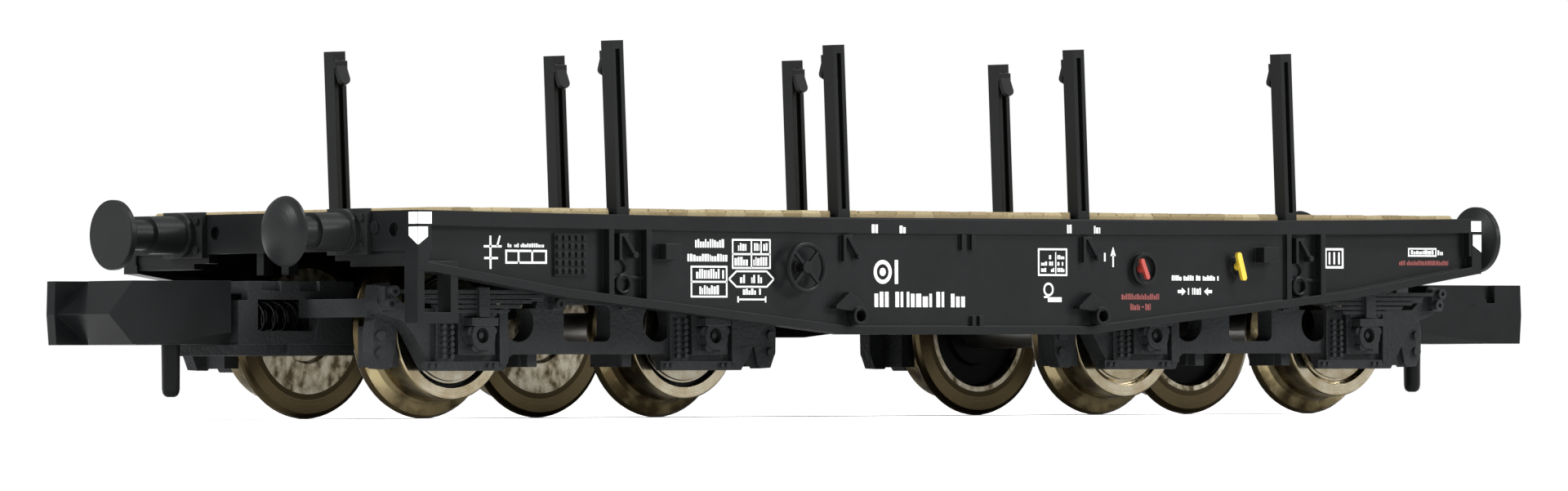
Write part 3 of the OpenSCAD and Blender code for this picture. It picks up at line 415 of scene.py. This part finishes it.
def raw_object(name, fill, turn=None):
    """An object whose mesh the function fill makes in a bmesh."""
    shape = bmesh.new()
    fill(shape)
    bmesh.ops.recalc_face_normals(shape, faces=shape.faces)
    if turn is not None:
        shape.transform(turn)
    data = bpy.data.meshes.new(name)
    shape.to_mesh(data)
    shape.free()
    made = bpy.data.objects.new(name, data)
    bpy.context.scene.collection.objects.link(made)
    return made


def combine(made, fill, operation, turn=None):
    """Joins to an object, or cuts from it, the solid that fill makes."""
    tool = raw_object("tool", fill, turn)
    step = made.modifiers.new("step", "BOOLEAN")
    step.operation = operation
    step.solver = "MANIFOLD"
    step.object = tool
    bake(made)
    bpy.data.objects.remove(tool)


def bake(made):
    """Applies an object's modifiers."""
    graph = bpy.context.evaluated_depsgraph_get()
    graph.update()
    result = bpy.data.meshes.new_from_object(made.evaluated_get(graph))
    made.modifiers.clear()
    made.data = result


def piece(made, body, material, smooth=None):
    """Dresses an object and puts it on a body; smooth is the angle that still shades smooth."""
    data = made.data
    data.materials.clear()
    data.materials.append(material)
    if smooth:
        data.shade_smooth()
        data.set_sharp_from_angle(angle=math.radians(smooth))
    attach(made, body)


def turn_angles(count):
    return [math.tau * k / count for k in range(count)]


def rectangle(x0, x1, z0, z1):
    return [(x0, z0), (x1, z0), (x1, z1), (x0, z1)]


def prism(shape, outline, low, high, axes="xzy"):
    """A closed solid over an outline. axes names the outline's two axes, then the depth's."""
    order = ["xyz".index(a) for a in axes]

    def corner(point, depth):
        spot = [0, 0, 0]
        for axis, value in zip(order, (*point, depth)):
            spot[axis] = value
        return shape.verts.new(spot)

    first = [corner(p, low) for p in outline]
    last = [corner(p, high) for p in outline]
    shape.faces.new(first)
    shape.faces.new(last)
    for i in range(len(outline)):
        j = (i + 1) % len(outline)
        shape.faces.new((first[i], first[j], last[j], last[i]))


def loft(shape, rings):
    """A closed skin through rings that have equally many points."""
    loops = [[shape.verts.new(p) for p in ring] for ring in rings]
    for a, b in zip(loops, loops[1:]):
        for i in range(len(a)):
            j = (i + 1) % len(a)
            shape.faces.new((a[i], a[j], b[j], b[i]))
    shape.faces.new(loops[0])
    shape.faces.new(loops[-1])


def soften(made, width, segments=2, angle=30):
    """Rounds the edges that turn by more than angle."""
    bevel = made.modifiers.new("edges", "BEVEL")
    bevel.width = width
    bevel.segments = segments
    bevel.limit_method = "ANGLE"
    bevel.angle_limit = math.radians(angle)
    bevel.harden_normals = False


# ---- Deck --------------------------------------------------------------------------

STAKE_NOTCH_WIDTH = 1.1 * MM
STAKE_NOTCH_DEPTH = 0.6 * MM
STAKE_LEAN = 0.13 * MM  # from a stake's middle to its foot
GROOVE = 0.14 * MM
GROOVE_FLOOR = 0.01 * MM  # from a board's own edge
BOARD_EDGE = 0.09 * MM
BOARD_UNEVENNESS = 0.025 * MM
BOARD_INSETS = (0.01, 0.09)  # how far the boards' ends may lie back, in millimetres


def deck_sheet(shape):
    """The planks as one grooved sheet. Each board has its own height and its own ends."""
    rng = random.Random(7)
    top, boards = [], []
    for i in range(BOARD_COUNT):
        start = deck_low.x + i * BOARD_PITCH
        end = start + BOARD_PITCH
        crown = deck_high.z - rng.uniform(0, 1) * BOARD_UNEVENNESS
        floor = deck_high.z - GROOVE
        boards.append((len(top) + 2, len(top) + 3))
        top += [(start + GROOVE_FLOOR, floor), (start + BOARD_EDGE, crown),
                (end - BOARD_EDGE, crown), (end - GROOVE_FLOOR, floor)]
    outline = [(deck_low.x, deck_low.z)] + top + [(deck_high.x, deck_low.z)]
    first = [shape.verts.new((x, deck_low.y, z)) for x, z in outline]
    last = [shape.verts.new((x, deck_high.y, z)) for x, z in outline]
    for i in range(len(outline)):
        j = (i + 1) % len(outline)
        shape.faces.new((first[i], first[j], last[j], last[i]))
    for row, sign in ((first, 1), (last, -1)):
        for board in boards:
            inset = rng.uniform(*BOARD_INSETS) * MM
            for index in board:
                row[index].co.y += sign * inset
        bmesh.ops.triangulate(shape, faces=[shape.faces.new(row)])


def stake_notches(shape):
    """What is cut from the deck's long edges at the stakes."""
    half = STAKE_NOTCH_WIDTH / 2
    for name in STAKES:
        low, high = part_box(name)
        foot = (low.x + high.x) / 2 + STAKE_LEAN
        side = 1 if low.y > 0 else -1
        inner = side * (abs(low.y + high.y) / 2 - STAKE_NOTCH_DEPTH)
        outline = rectangle(foot - half, foot + half, inner, side * 2 * deck_high.y)
        prism(shape, outline, deck_low.z - MM, deck_high.z + MM, "xyz")


def deck_boards(material):
    deck = raw_object("deck_boards", deck_sheet)
    combine(deck, stake_notches, "DIFFERENCE")
    piece(deck, "wagon_body", material)
    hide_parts("deck_planks")


# ---- Couplers ------------------------------------------------------------------------

# The coupler of end A: lengths start at its tip, and heights at the rail
coupler_low, coupler_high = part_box("coupler_a")
TIP = coupler_low.x
NOSE = TIP + 1.25 * MM
THROAT = NOSE + 0.6 * MM  # where the nose's solids run into the head
HEAD_BACK = TIP + 6.25 * MM
HEAD_HALF = 2.1 * MM
HEAD_BOTTOM = RAIL + 2.36 * MM
HEAD_TOP = RAIL + 4.96 * MM
RIDGE = RAIL + 3.6 * MM
FOLD = NOSE + 0.5 * MM  # where the valley's slopes start and the head's body ends
WEDGE_SIDE = 0.9 * MM  # the far side of the nose's wedge, from the middle
RIDGE_END = -0.5 * MM  # where its ridge stops
VALLEY_SIDE = -0.6 * MM  # the near side of the valley
HORN = 1.56 * MM  # the horn's inner face, from the middle
HORN_ROOT = TIP + 2 * MM
CHIN = (0.45 * MM, 0.5 * MM)  # how far the head's lower corners are cut, in and up
SHARP_CHIN = (0.03 * MM, 0.03 * MM)
OVERSHOOT = 0.1 * MM  # what a cut or a joined solid reaches past a face
MOUTH = (NOSE + 0.9 * MM, HEAD_BACK - 2.1 * MM, HEAD_BOTTOM - MM, HEAD_BOTTOM + 1.9 * MM)
MOUTH_SIDES = (-1.45 * MM, 1.3 * MM)
NOTCH_FRONT = TIP + 1.65 * MM
NOTCH_BACK = (TIP + 2.1 * MM, TIP + 2.6 * MM)  # at the notch's floor and at its top
NOTCH_FLOOR = HEAD_TOP - 0.8 * MM
NOTCH_INSET = 0.3 * MM
HEAD_ROUNDING = 0.03 * MM
PIVOT = coupler_high.x - 0.2 * MM
NECK_LEVEL = RAIL + 3.51 * MM
NECK = (0.55 * MM, 0.75 * MM)  # half height and half width
CROSSBAR = (0.65 * MM, 1.6 * MM)
CROSSBAR_HALF = 0.2 * MM  # along the track
PIN_PLACE = TIP + 4.75 * MM
# Radius and height above the pin's lower end, in millimetres
PIN_PROFILE = [(0.16, 0.02), (0.27, 0.08), (0.34, 0.18), (0.37, 0.34), (0.39, 2.4), (0.39, 2.8)]


def head_block(shape):
    """The head's body, whose lower corners are cut off more and more towards the back."""
    def section(x, cut, rise):
        low = HEAD_BOTTOM + rise
        return [(x, -HEAD_HALF, low), (x, -HEAD_HALF, HEAD_TOP), (x, HEAD_HALF, HEAD_TOP),
                (x, HEAD_HALF, low), (x, HEAD_HALF - cut, HEAD_BOTTOM),
                (x, -HEAD_HALF + cut, HEAD_BOTTOM)]

    loft(shape, [section(HEAD_BACK, *CHIN), section(FOLD, *SHARP_CHIN)])


def nose_wedge(shape):
    """The nose on the near side: two slopes that meet in a ridge at the tip's height."""
    def section(y, ridge_y):
        return [(THROAT, y, HEAD_BOTTOM), (THROAT, y, HEAD_TOP), (NOSE, y, HEAD_TOP),
                (TIP, ridge_y, RIDGE), (NOSE, y, HEAD_BOTTOM)]

    loft(shape, [section(-HEAD_HALF, -HEAD_HALF), section(WEDGE_SIDE, RIDGE_END)])


def nose_valley(shape):
    """The deeper slopes between the nose and the horn."""
    outline = [(THROAT, HEAD_BOTTOM), (THROAT, HEAD_TOP), (FOLD, HEAD_TOP), (TIP + 0.15 * MM, RIDGE),
               (FOLD, HEAD_BOTTOM)]
    prism(shape, outline, VALLEY_SIDE, HORN + OVERSHOOT)


def nose_horn(shape):
    """The upright cheek at the far side of the nose."""
    outline = [(HORN_ROOT, HEAD_BOTTOM), (TIP + 0.1 * MM, HEAD_BOTTOM), (TIP, RIDGE),
               (TIP + 0.05 * MM, HEAD_TOP), (HORN_ROOT, HEAD_TOP)]
    prism(shape, outline, HORN, HEAD_HALF)


def coupler_neck(shape):
    half_height, half_width = NECK
    outline = rectangle(HEAD_BACK - OVERSHOOT, PIVOT, NECK_LEVEL - half_height, NECK_LEVEL + half_height)
    prism(shape, outline, -half_width, half_width)


def coupler_crossbar(shape):
    half_height, half_width = CROSSBAR
    outline = rectangle(PIVOT - CROSSBAR_HALF, PIVOT + CROSSBAR_HALF, NECK_LEVEL - half_height,
                        NECK_LEVEL + half_height)
    prism(shape, outline, -half_width, half_width)


def side_notch(shape):
    """A small notch in the top edge of the head's far side."""
    above = HEAD_TOP + OVERSHOOT
    outline = [(NOTCH_FRONT, above), (NOTCH_FRONT, NOTCH_FLOOR), (NOTCH_BACK[0], NOTCH_FLOOR),
               (NOTCH_BACK[1], above)]
    prism(shape, outline, HEAD_HALF - NOTCH_INSET, HEAD_HALF + MM)


def mouth(shape):
    """The hollow under the head that takes the other wagon's hook."""
    prism(shape, rectangle(*MOUTH), *MOUTH_SIDES)


def uncoupling_pin(shape):
    """A slightly tapered pin with a rounded end."""
    loft(shape, [[(PIN_PLACE + radius * MM * math.cos(a), radius * MM * math.sin(a),
                   coupler_low.z + height * MM) for a in turn_angles(24)]
                 for radius, height in PIN_PROFILE])


def make_couplers(material):
    for end, turn in ENDS.items():
        body = "coupler_" + end
        head = raw_object(f"coupler_head_{end}", head_block, turn)
        for solid in (nose_wedge, nose_valley, nose_horn, coupler_neck, coupler_crossbar):
            combine(head, solid, "UNION", turn)
        for hollow in (side_notch, mouth):
            combine(head, hollow, "DIFFERENCE", turn)
        piece(head, body, material)
        soften(head, HEAD_ROUNDING)
        pin = raw_object(f"uncoupling_pin_{end}", uncoupling_pin, turn)
        piece(pin, body, material, 60)
        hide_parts("coupler_" + end)


# ---- Markings ----------------------------------------------------------------------

# Marks are outlines in millimetres along the sill from its middle and above the rail.
# They stand for lettering and data panels, and hold no letters or numbers themselves.
INK = 0.012 * MM
MARK_SHIFT = -0.22  # how far the rows of marks lie to the left of the measures below
STROKE = 0.075


def bar(x0, x1, z0, z1):
    return [rectangle(x0, x1, z0, z1)]


def box_frame(x0, x1, z0, z1, t=STROKE):
    return (bar(x0, x1, z1 - t, z1) + bar(x0, x1, z0, z0 + t)
            + bar(x0, x0 + t, z0 + t, z1 - t) + bar(x1 - t, x1, z0 + t, z1 - t))


def stroke(p, q, t=STROKE):
    """A straight stroke of thickness t from p to q."""
    a, b = Vector(p), Vector(q)
    side = (b - a).normalized()
    side = Vector((-side.y, side.x)) * t / 2
    return [[tuple(a + side), tuple(a - side), tuple(b - side), tuple(b + side)]]


def loop(points, t=STROKE):
    """Strokes from each point to the next, and back to the first."""
    shapes = []
    for p, q in zip(points, points[1:] + points[:1]):
        shapes += stroke(p, q, t)
    return shapes


def ring(x, z, radius, t=STROKE, count=28):
    """A ring of outer radius radius and thickness t."""
    shapes = []
    for k in range(count):
        a, b = math.tau * k / count, math.tau * (k + 1) / count
        shapes.append([(x + r * math.cos(c), z + r * math.sin(c))
                       for r, c in ((radius, a), (radius, b), (radius - t, b), (radius - t, a))])
    return shapes


def dashes(x0, x1, z0, z1, seed, width=0.09, gap=0.045):
    """A row of plain upright dashes of uneven width and height, in place of lettering."""
    rng = random.Random(seed)
    shapes, x = [], x0
    while x < x1 - width * 0.4:
        w = min(rng.choice((0.7, 1.0, 1.0, 1.4)) * width, x1 - x)
        top = z1 - (z1 - z0) * rng.choice((0, 0, 0.12, 0.3))
        if rng.random() > 0.12:
            shapes += bar(x, x + w, z0, top)
        x += w + gap
    return shapes


def shifted(shapes, by):
    return [[(x + by, z) for x, z in outline] for outline in shapes]


def mirrored(shapes, about):
    return [[(2 * about - x, z) for x, z in outline] for outline in shapes]


def arrow(x0, x1, z, height):
    """A plump arrow from x0 to x1."""
    neck = x1 - (x1 - x0) * 0.5
    h = height / 2
    return [[(x0, z - h * 0.4), (neck, z - h * 0.4), (neck, z + h * 0.4), (x0, z + h * 0.4)],
            [(neck, z - h), (x1, z), (neck, z + h)]]


def left_marks():
    """Crossed strokes, and the box of three cells beside them."""
    return (bar(-25.5, -25.4, 5.38, 6.74) + bar(-25.78, -25.06, 5.78, 5.87)
            + bar(-25.8, -24.86, 6.26, 6.35) + stroke((-25.1, 6.3), (-24.95, 6.74), 0.09)
            + box_frame(-24.67, -22.48, 5.6, 6.17, 0.09)
            + bar(-24.02, -23.93, 5.6, 6.17) + bar(-23.3, -23.21, 5.6, 6.17)
            + dashes(-24.55, -22.6, 6.27, 6.43, 1, 0.07, 0.03))


def data_panel():
    """Rows and boxes where the wagon's weights and sizes would be."""
    hexagon = [(-12.95, 5.01), (-12.55, 5.33), (-10.9, 5.33), (-10.51, 5.01), (-10.9, 4.69),
               (-12.55, 4.69)]
    shapes = dashes(-14.88, -13.16, 6.3, 6.65, 2) + dashes(-15.19, -12.99, 5.73, 6.04, 3)
    shapes += box_frame(-15.02, -13.04, 4.24, 5.55) + bar(-15.0, -13.06, 4.85, 4.93)
    shapes += dashes(-14.86, -13.2, 5.02, 5.42, 4) + dashes(-14.55, -13.5, 4.37, 4.74, 5)
    shapes += box_frame(-12.78, -10.68, 5.43, 6.67) + bar(-12.76, -10.7, 6.0, 6.08)
    shapes += bar(-11.76, -11.69, 5.45, 6.65) + bar(-11.23, -11.17, 6.05, 6.65)
    shapes += dashes(-12.45, -11.95, 6.18, 6.5, 6) + dashes(-11.58, -11.3, 6.18, 6.5, 7)
    shapes += dashes(-11.08, -10.82, 6.18, 6.5, 8) + dashes(-12.64, -11.84, 5.56, 5.92, 9)
    shapes += dashes(-11.62, -10.8, 5.56, 5.92, 10)
    shapes += loop(hexagon) + dashes(-12.35, -11.1, 4.84, 5.18, 11)
    shapes += dashes(-12.2, -11.18, 4.36, 4.61, 12) + bar(-12.45, -10.98, 4.13, 4.2)
    return shapes + bar(-12.5, -12.42, 4.04, 4.29) + bar(-11.0, -10.93, 4.04, 4.29)


def large_sign():
    """A ring with a bar, over a long row of large dashes."""
    shapes = ring(-4.53, 5.33, 0.5, 0.17) + ring(-4.53, 5.33, 0.17, 0.17)
    shapes += bar(-3.86, -3.68, 4.83, 5.83)
    for x0, x1, seed in ((-4.99, -3.4, 13), (-3.2, -1.7, 14), (-1.55, 0.06, 15)):
        shapes += dashes(x0, x1, 3.86, 4.5, seed, 0.2, 0.09)
    return shapes


def middle_marks():
    """A small table, a round sign with a foot, and an arrow that points up."""
    shapes = box_frame(4.17, 5.83, 5.19, 6.36, 0.08) + bar(5.15, 5.2, 5.3, 6.2)
    columns = ((4.35, 4.68, 20, 2), (4.8, 5.08, 23, 3), (5.27, 5.66, 26, 3))
    for x0, x1, seed, rows in columns:
        for k in range(rows):
            z = 5.36 + 0.27 * k
            shapes += dashes(x0, x1, z, z + 0.17, seed + k, 0.08, 0.03)
    shapes += ring(4.76, 4.62, 0.29, 0.09) + bar(4.5, 4.78, 4.26, 4.34) + bar(4.72, 5.5, 4.09, 4.29)
    shapes += bar(8.41, 8.49, 5.58, 6.1) + [[(8.3, 6.05), (8.6, 6.05), (8.45, 6.44)]]
    return shapes + dashes(7.93, 8.1, 5.82, 6.18, 30, 0.09)


def right_marks():
    """A row over two arrows that meet, and two boxes at the right end."""
    pointer = arrow(12.16, 12.62, 4.55, 0.34)
    shapes = dashes(11.73, 14.53, 5.02, 5.24, 31, 0.08, 0.03) + dashes(12.75, 13.55, 4.42, 4.7, 32)
    shapes += pointer + mirrored(pointer, 13.15) + box_frame(21.0, 22.1, 5.57, 6.45, 0.1)
    for x in (21.22, 21.5, 21.78):
        shapes += bar(x, x + 0.1, 5.75, 6.27)
    shapes += box_frame(25.95, 27.65, 6.1, 6.48, 0.07) + dashes(26.12, 27.5, 6.2, 6.38, 33, 0.12, 0.04)
    return shapes + dashes(27.72, 28.1, 6.17, 6.38, 34)


def white_marks():
    rows = left_marks() + data_panel() + large_sign() + middle_marks() + right_marks()
    return shifted(rows, MARK_SHIFT) + flange_marks() + CORNER_MARKS


def flange_marks():
    shapes = []
    for x0, x1, z0, seed in ((-5.47, -5.11, 6.95, 40), (-3.93, -3.57, 6.95, 41),
                             (5.48, 5.82, 7.0, 42), (7.01, 7.36, 7.0, 43)):
        shapes += dashes(x0, x1, z0, z0 + 0.36, seed, 0.12)
    return shapes


def red_marks():
    return shifted(
        dashes(8.91, 11.16, 4.2, 4.45, 50, 0.08, 0.03) + dashes(9.42, 10.0, 3.75, 4.03, 51, 0.08, 0.03)
        + bar(10.08, 10.2, 3.86, 3.92) + dashes(10.28, 10.59, 3.75, 4.03, 52, 0.08, 0.03)
        + dashes(25.4, 28.35, 5.72, 5.93, 53, 0.07, 0.025), MARK_SHIFT)


CORNER = 29.75  # from the wagon's middle to the corner marks' outer edge
CORNER_MARKS = [
    [(-CORNER, 7.2), (-CORNER + 0.7, 7.2), (-CORNER + 0.7, 7.68), (-CORNER, 7.68)],
    [(-CORNER, 6.35), (-CORNER + 0.5, 6.68), (-CORNER + 0.5, 7.08), (-CORNER, 7.08)],
    [(CORNER - 0.6, 7.2), (CORNER, 7.2), (CORNER, 7.66), (CORNER - 0.6, 7.66)],
    [(CORNER - 0.5, 6.6), (CORNER, 6.3), (CORNER, 7.06), (CORNER - 0.5, 7.06)]]
END_MARK_SPAN = (9.78, 9.2)  # outer and inner edge, from the wagon's middle
END_MARK_HEIGHTS = ((7.2, 7.2, 7.68), (6.35, 6.72, 7.08))  # outer foot, inner foot and top
OUTSIDE = 20 * MM  # a distance from the middle that is clear of the sill


def painted_on(name, outlines, material, side, surface):
    """Lays outlines as flat ink on the sill's face: side -1 is the near side and 1 the far side."""

    def fill(shape):
        for outline in outlines:
            points = [Vector((x * MM, 0, RAIL + z * MM)) for x, z in outline]
            middle = sum(points, Vector()) / len(points)
            start = Vector((-side * middle.x, side * OUTSIDE, middle.z))
            hit = surface.ray_cast(start, Vector((0, -side, 0)))[0]
            face = abs(hit.y)
            flat = [(-side * p.x, p.z) for p in points]
            depth = sorted((side * (face - INK), side * (face + INK)))
            prism(shape, flat, *depth)

    piece(raw_object(name, fill), "wagon_body", material)


def end_corner_marks(shape):
    """The parts of the corner marks that go round onto the headstock of end A."""
    face = -CORNER * MM
    for side in (-1, 1):
        outer, inner = (side * y * MM for y in END_MARK_SPAN)
        for heights in END_MARK_HEIGHTS:
            outer_foot, inner_foot, top = (RAIL + z * MM for z in heights)
            outline = [(outer, outer_foot), (inner, inner_foot), (inner, top), (outer, top)]
            prism(shape, outline, face - INK, face + INK, "yzx")


def make_markings(white, red):
    surface = BVHTree.FromObject(nodes["underframe"], bpy.context.evaluated_depsgraph_get())
    for word, side in (("near", -1), ("far", 1)):
        painted_on(f"white_marks_{word}", white_marks(), white, side, surface)
        painted_on(f"red_marks_{word}", red_marks(), red, side, surface)
    for end, turn in ENDS.items():
        marks = raw_object(f"end_marks_{end}", end_corner_marks, turn)
        piece(marks, "wagon_body", white)


# ---- Assembly ------------------------------------------------------------------------

COUPLER_BLACK = (0.007, 0.0076, 0.008)
BODY_BLACK = (0.0078, 0.0084, 0.0088)
BOGIE_BLACK = (0.022, 0.0235, 0.0245)
WHEEL_BRONZE = (0.42, 0.375, 0.275)
HUB_SILVER = (0.42, 0.39, 0.31)


def dress_frame():
    """Gives each CAD node that stays in sight its material, by the start of its name."""
    body_plastic = moulded_plastic("body_plastic", BODY_BLACK, 0.36)
    bogie_plastic = moulded_plastic("bogie_plastic", BOGIE_BLACK, 0.5, 1.0, 2.4, 0.17 * MM, 0.05 * MM)
    buffer_plastic = moulded_plastic("buffer_plastic", (0.0135, 0.0143, 0.0146), 0.36, 0.3)
    insulator = moulded_plastic("insulator_plastic", (0.008, 0.0085, 0.009), 0.45)
    by_start = {
        "underframe": body_plastic, "brake_wheel": body_plastic, "buffer_": buffer_plastic,
        "bogie_frame": bogie_plastic, "pocket_cover": bogie_plastic,
        "insulating": insulator, "king_pin": insulator,
        "stake_": moulded_plastic("stake_plastic", (0.0075, 0.008, 0.0082), 0.38),
        "axle_": plain_steel("axle_steel", (0.55, 0.54, 0.52)),
        "ballast": plain_steel("sheet_steel", (0.45, 0.45, 0.46)),
        # near black spring steel: painted shade, standing in for the shadow inside the coupler pocket
        "coupler_spring": plain_steel("spring_steel", (0.03, 0.03, 0.03), 0.4),
        "brake_lever": paint("red_lever_paint", (0.4, 0.05, 0.035), 0.42),
        "load_lever": paint("yellow_lever_paint", (0.75, 0.52, 0.04), 0.42)}
    for name in nodes:
        for start, material in by_start.items():
            if name.startswith(start):
                dress(name, material)
    for i in WHEELSETS:
        metal = turned_metal(f"wheel_metal_{i}", centre(f"axle_{i}"), WHEEL_BRONZE, 0.17, cast=True)
        dress(f"solid_wheel_{i}", metal)
        dress(f"wheel_tyre_{i}", metal)


# Radius and height of the disc's skin, in millimetres
HUB_STEPS = [(0.8, 0), (1.0, 0), (1.05, -0.17), (1.5, -0.17), (1.55, 0.01), (2.1, 0.01),
             (2.12, -0.09), (2.21, -0.09), (2.235, -0.3)]
HUB_SKIN = 0.06
HUB_LIFT = 0.015 * MM
DISC_DEPTH = 0.05 * MM  # how far the disc lies below the tyre's face


def hub_discs():
    """The bright skin over the stepped disc on the outer face of each insulated wheel."""
    outline = HUB_STEPS + [(r, y - HUB_SKIN) for r, y in reversed(HUB_STEPS)]
    for i in WHEELSETS:
        middle = centre(f"insulating_centre_{i}")
        side = 1 if middle.y > 0 else -1
        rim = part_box(f"wheel_tyre_{i}")
        face = max(abs(rim[0].y), abs(rim[1].y)) - DISC_DEPTH + HUB_LIFT

        def fill(shape):
            rings = []
            for a in turn_angles(72):
                rings.append([shape.verts.new((middle.x + r * MM * math.cos(a), side * (face + y * MM),
                                               middle.z + r * MM * math.sin(a))) for r, y in outline])
            for p, q in zip(rings, rings[1:] + rings[:1]):
                for m in range(len(outline)):
                    n = (m + 1) % len(outline)
                    shape.faces.new((p[m], p[n], q[n], q[m]))

        metal = turned_metal(f"hub_metal_{i}", centre(f"axle_{i}"), HUB_SILVER, 0.24)
        piece(raw_object(f"hub_disc_{i}", fill), f"wheelset_{i}", metal, 30)


FLOOR_HALF = 6  # half the floor's width, in metres


def make_floor():
    data = bpy.data.meshes.new("floor")
    corners = [(x, y, 0) for x, y in rectangle(-FLOOR_HALF, FLOOR_HALF, -FLOOR_HALF, FLOOR_HALF)]
    data.from_pydata(corners, [], [(0, 1, 2, 3)])
    data.materials.append(floor_paper())
    floor = bpy.data.objects.new("floor", data)
    bpy.context.scene.collection.objects.link(floor)


make_camera()
make_lights()
make_floor()
dress_frame()
deck_boards(board_wood())
make_couplers(moulded_plastic("coupler_plastic", COUPLER_BLACK, 0.3))
hub_discs()
make_markings(paint("white_ink", (0.86, 0.87, 0.87)), paint("red_ink", (0.2, 0.035, 0.03)))
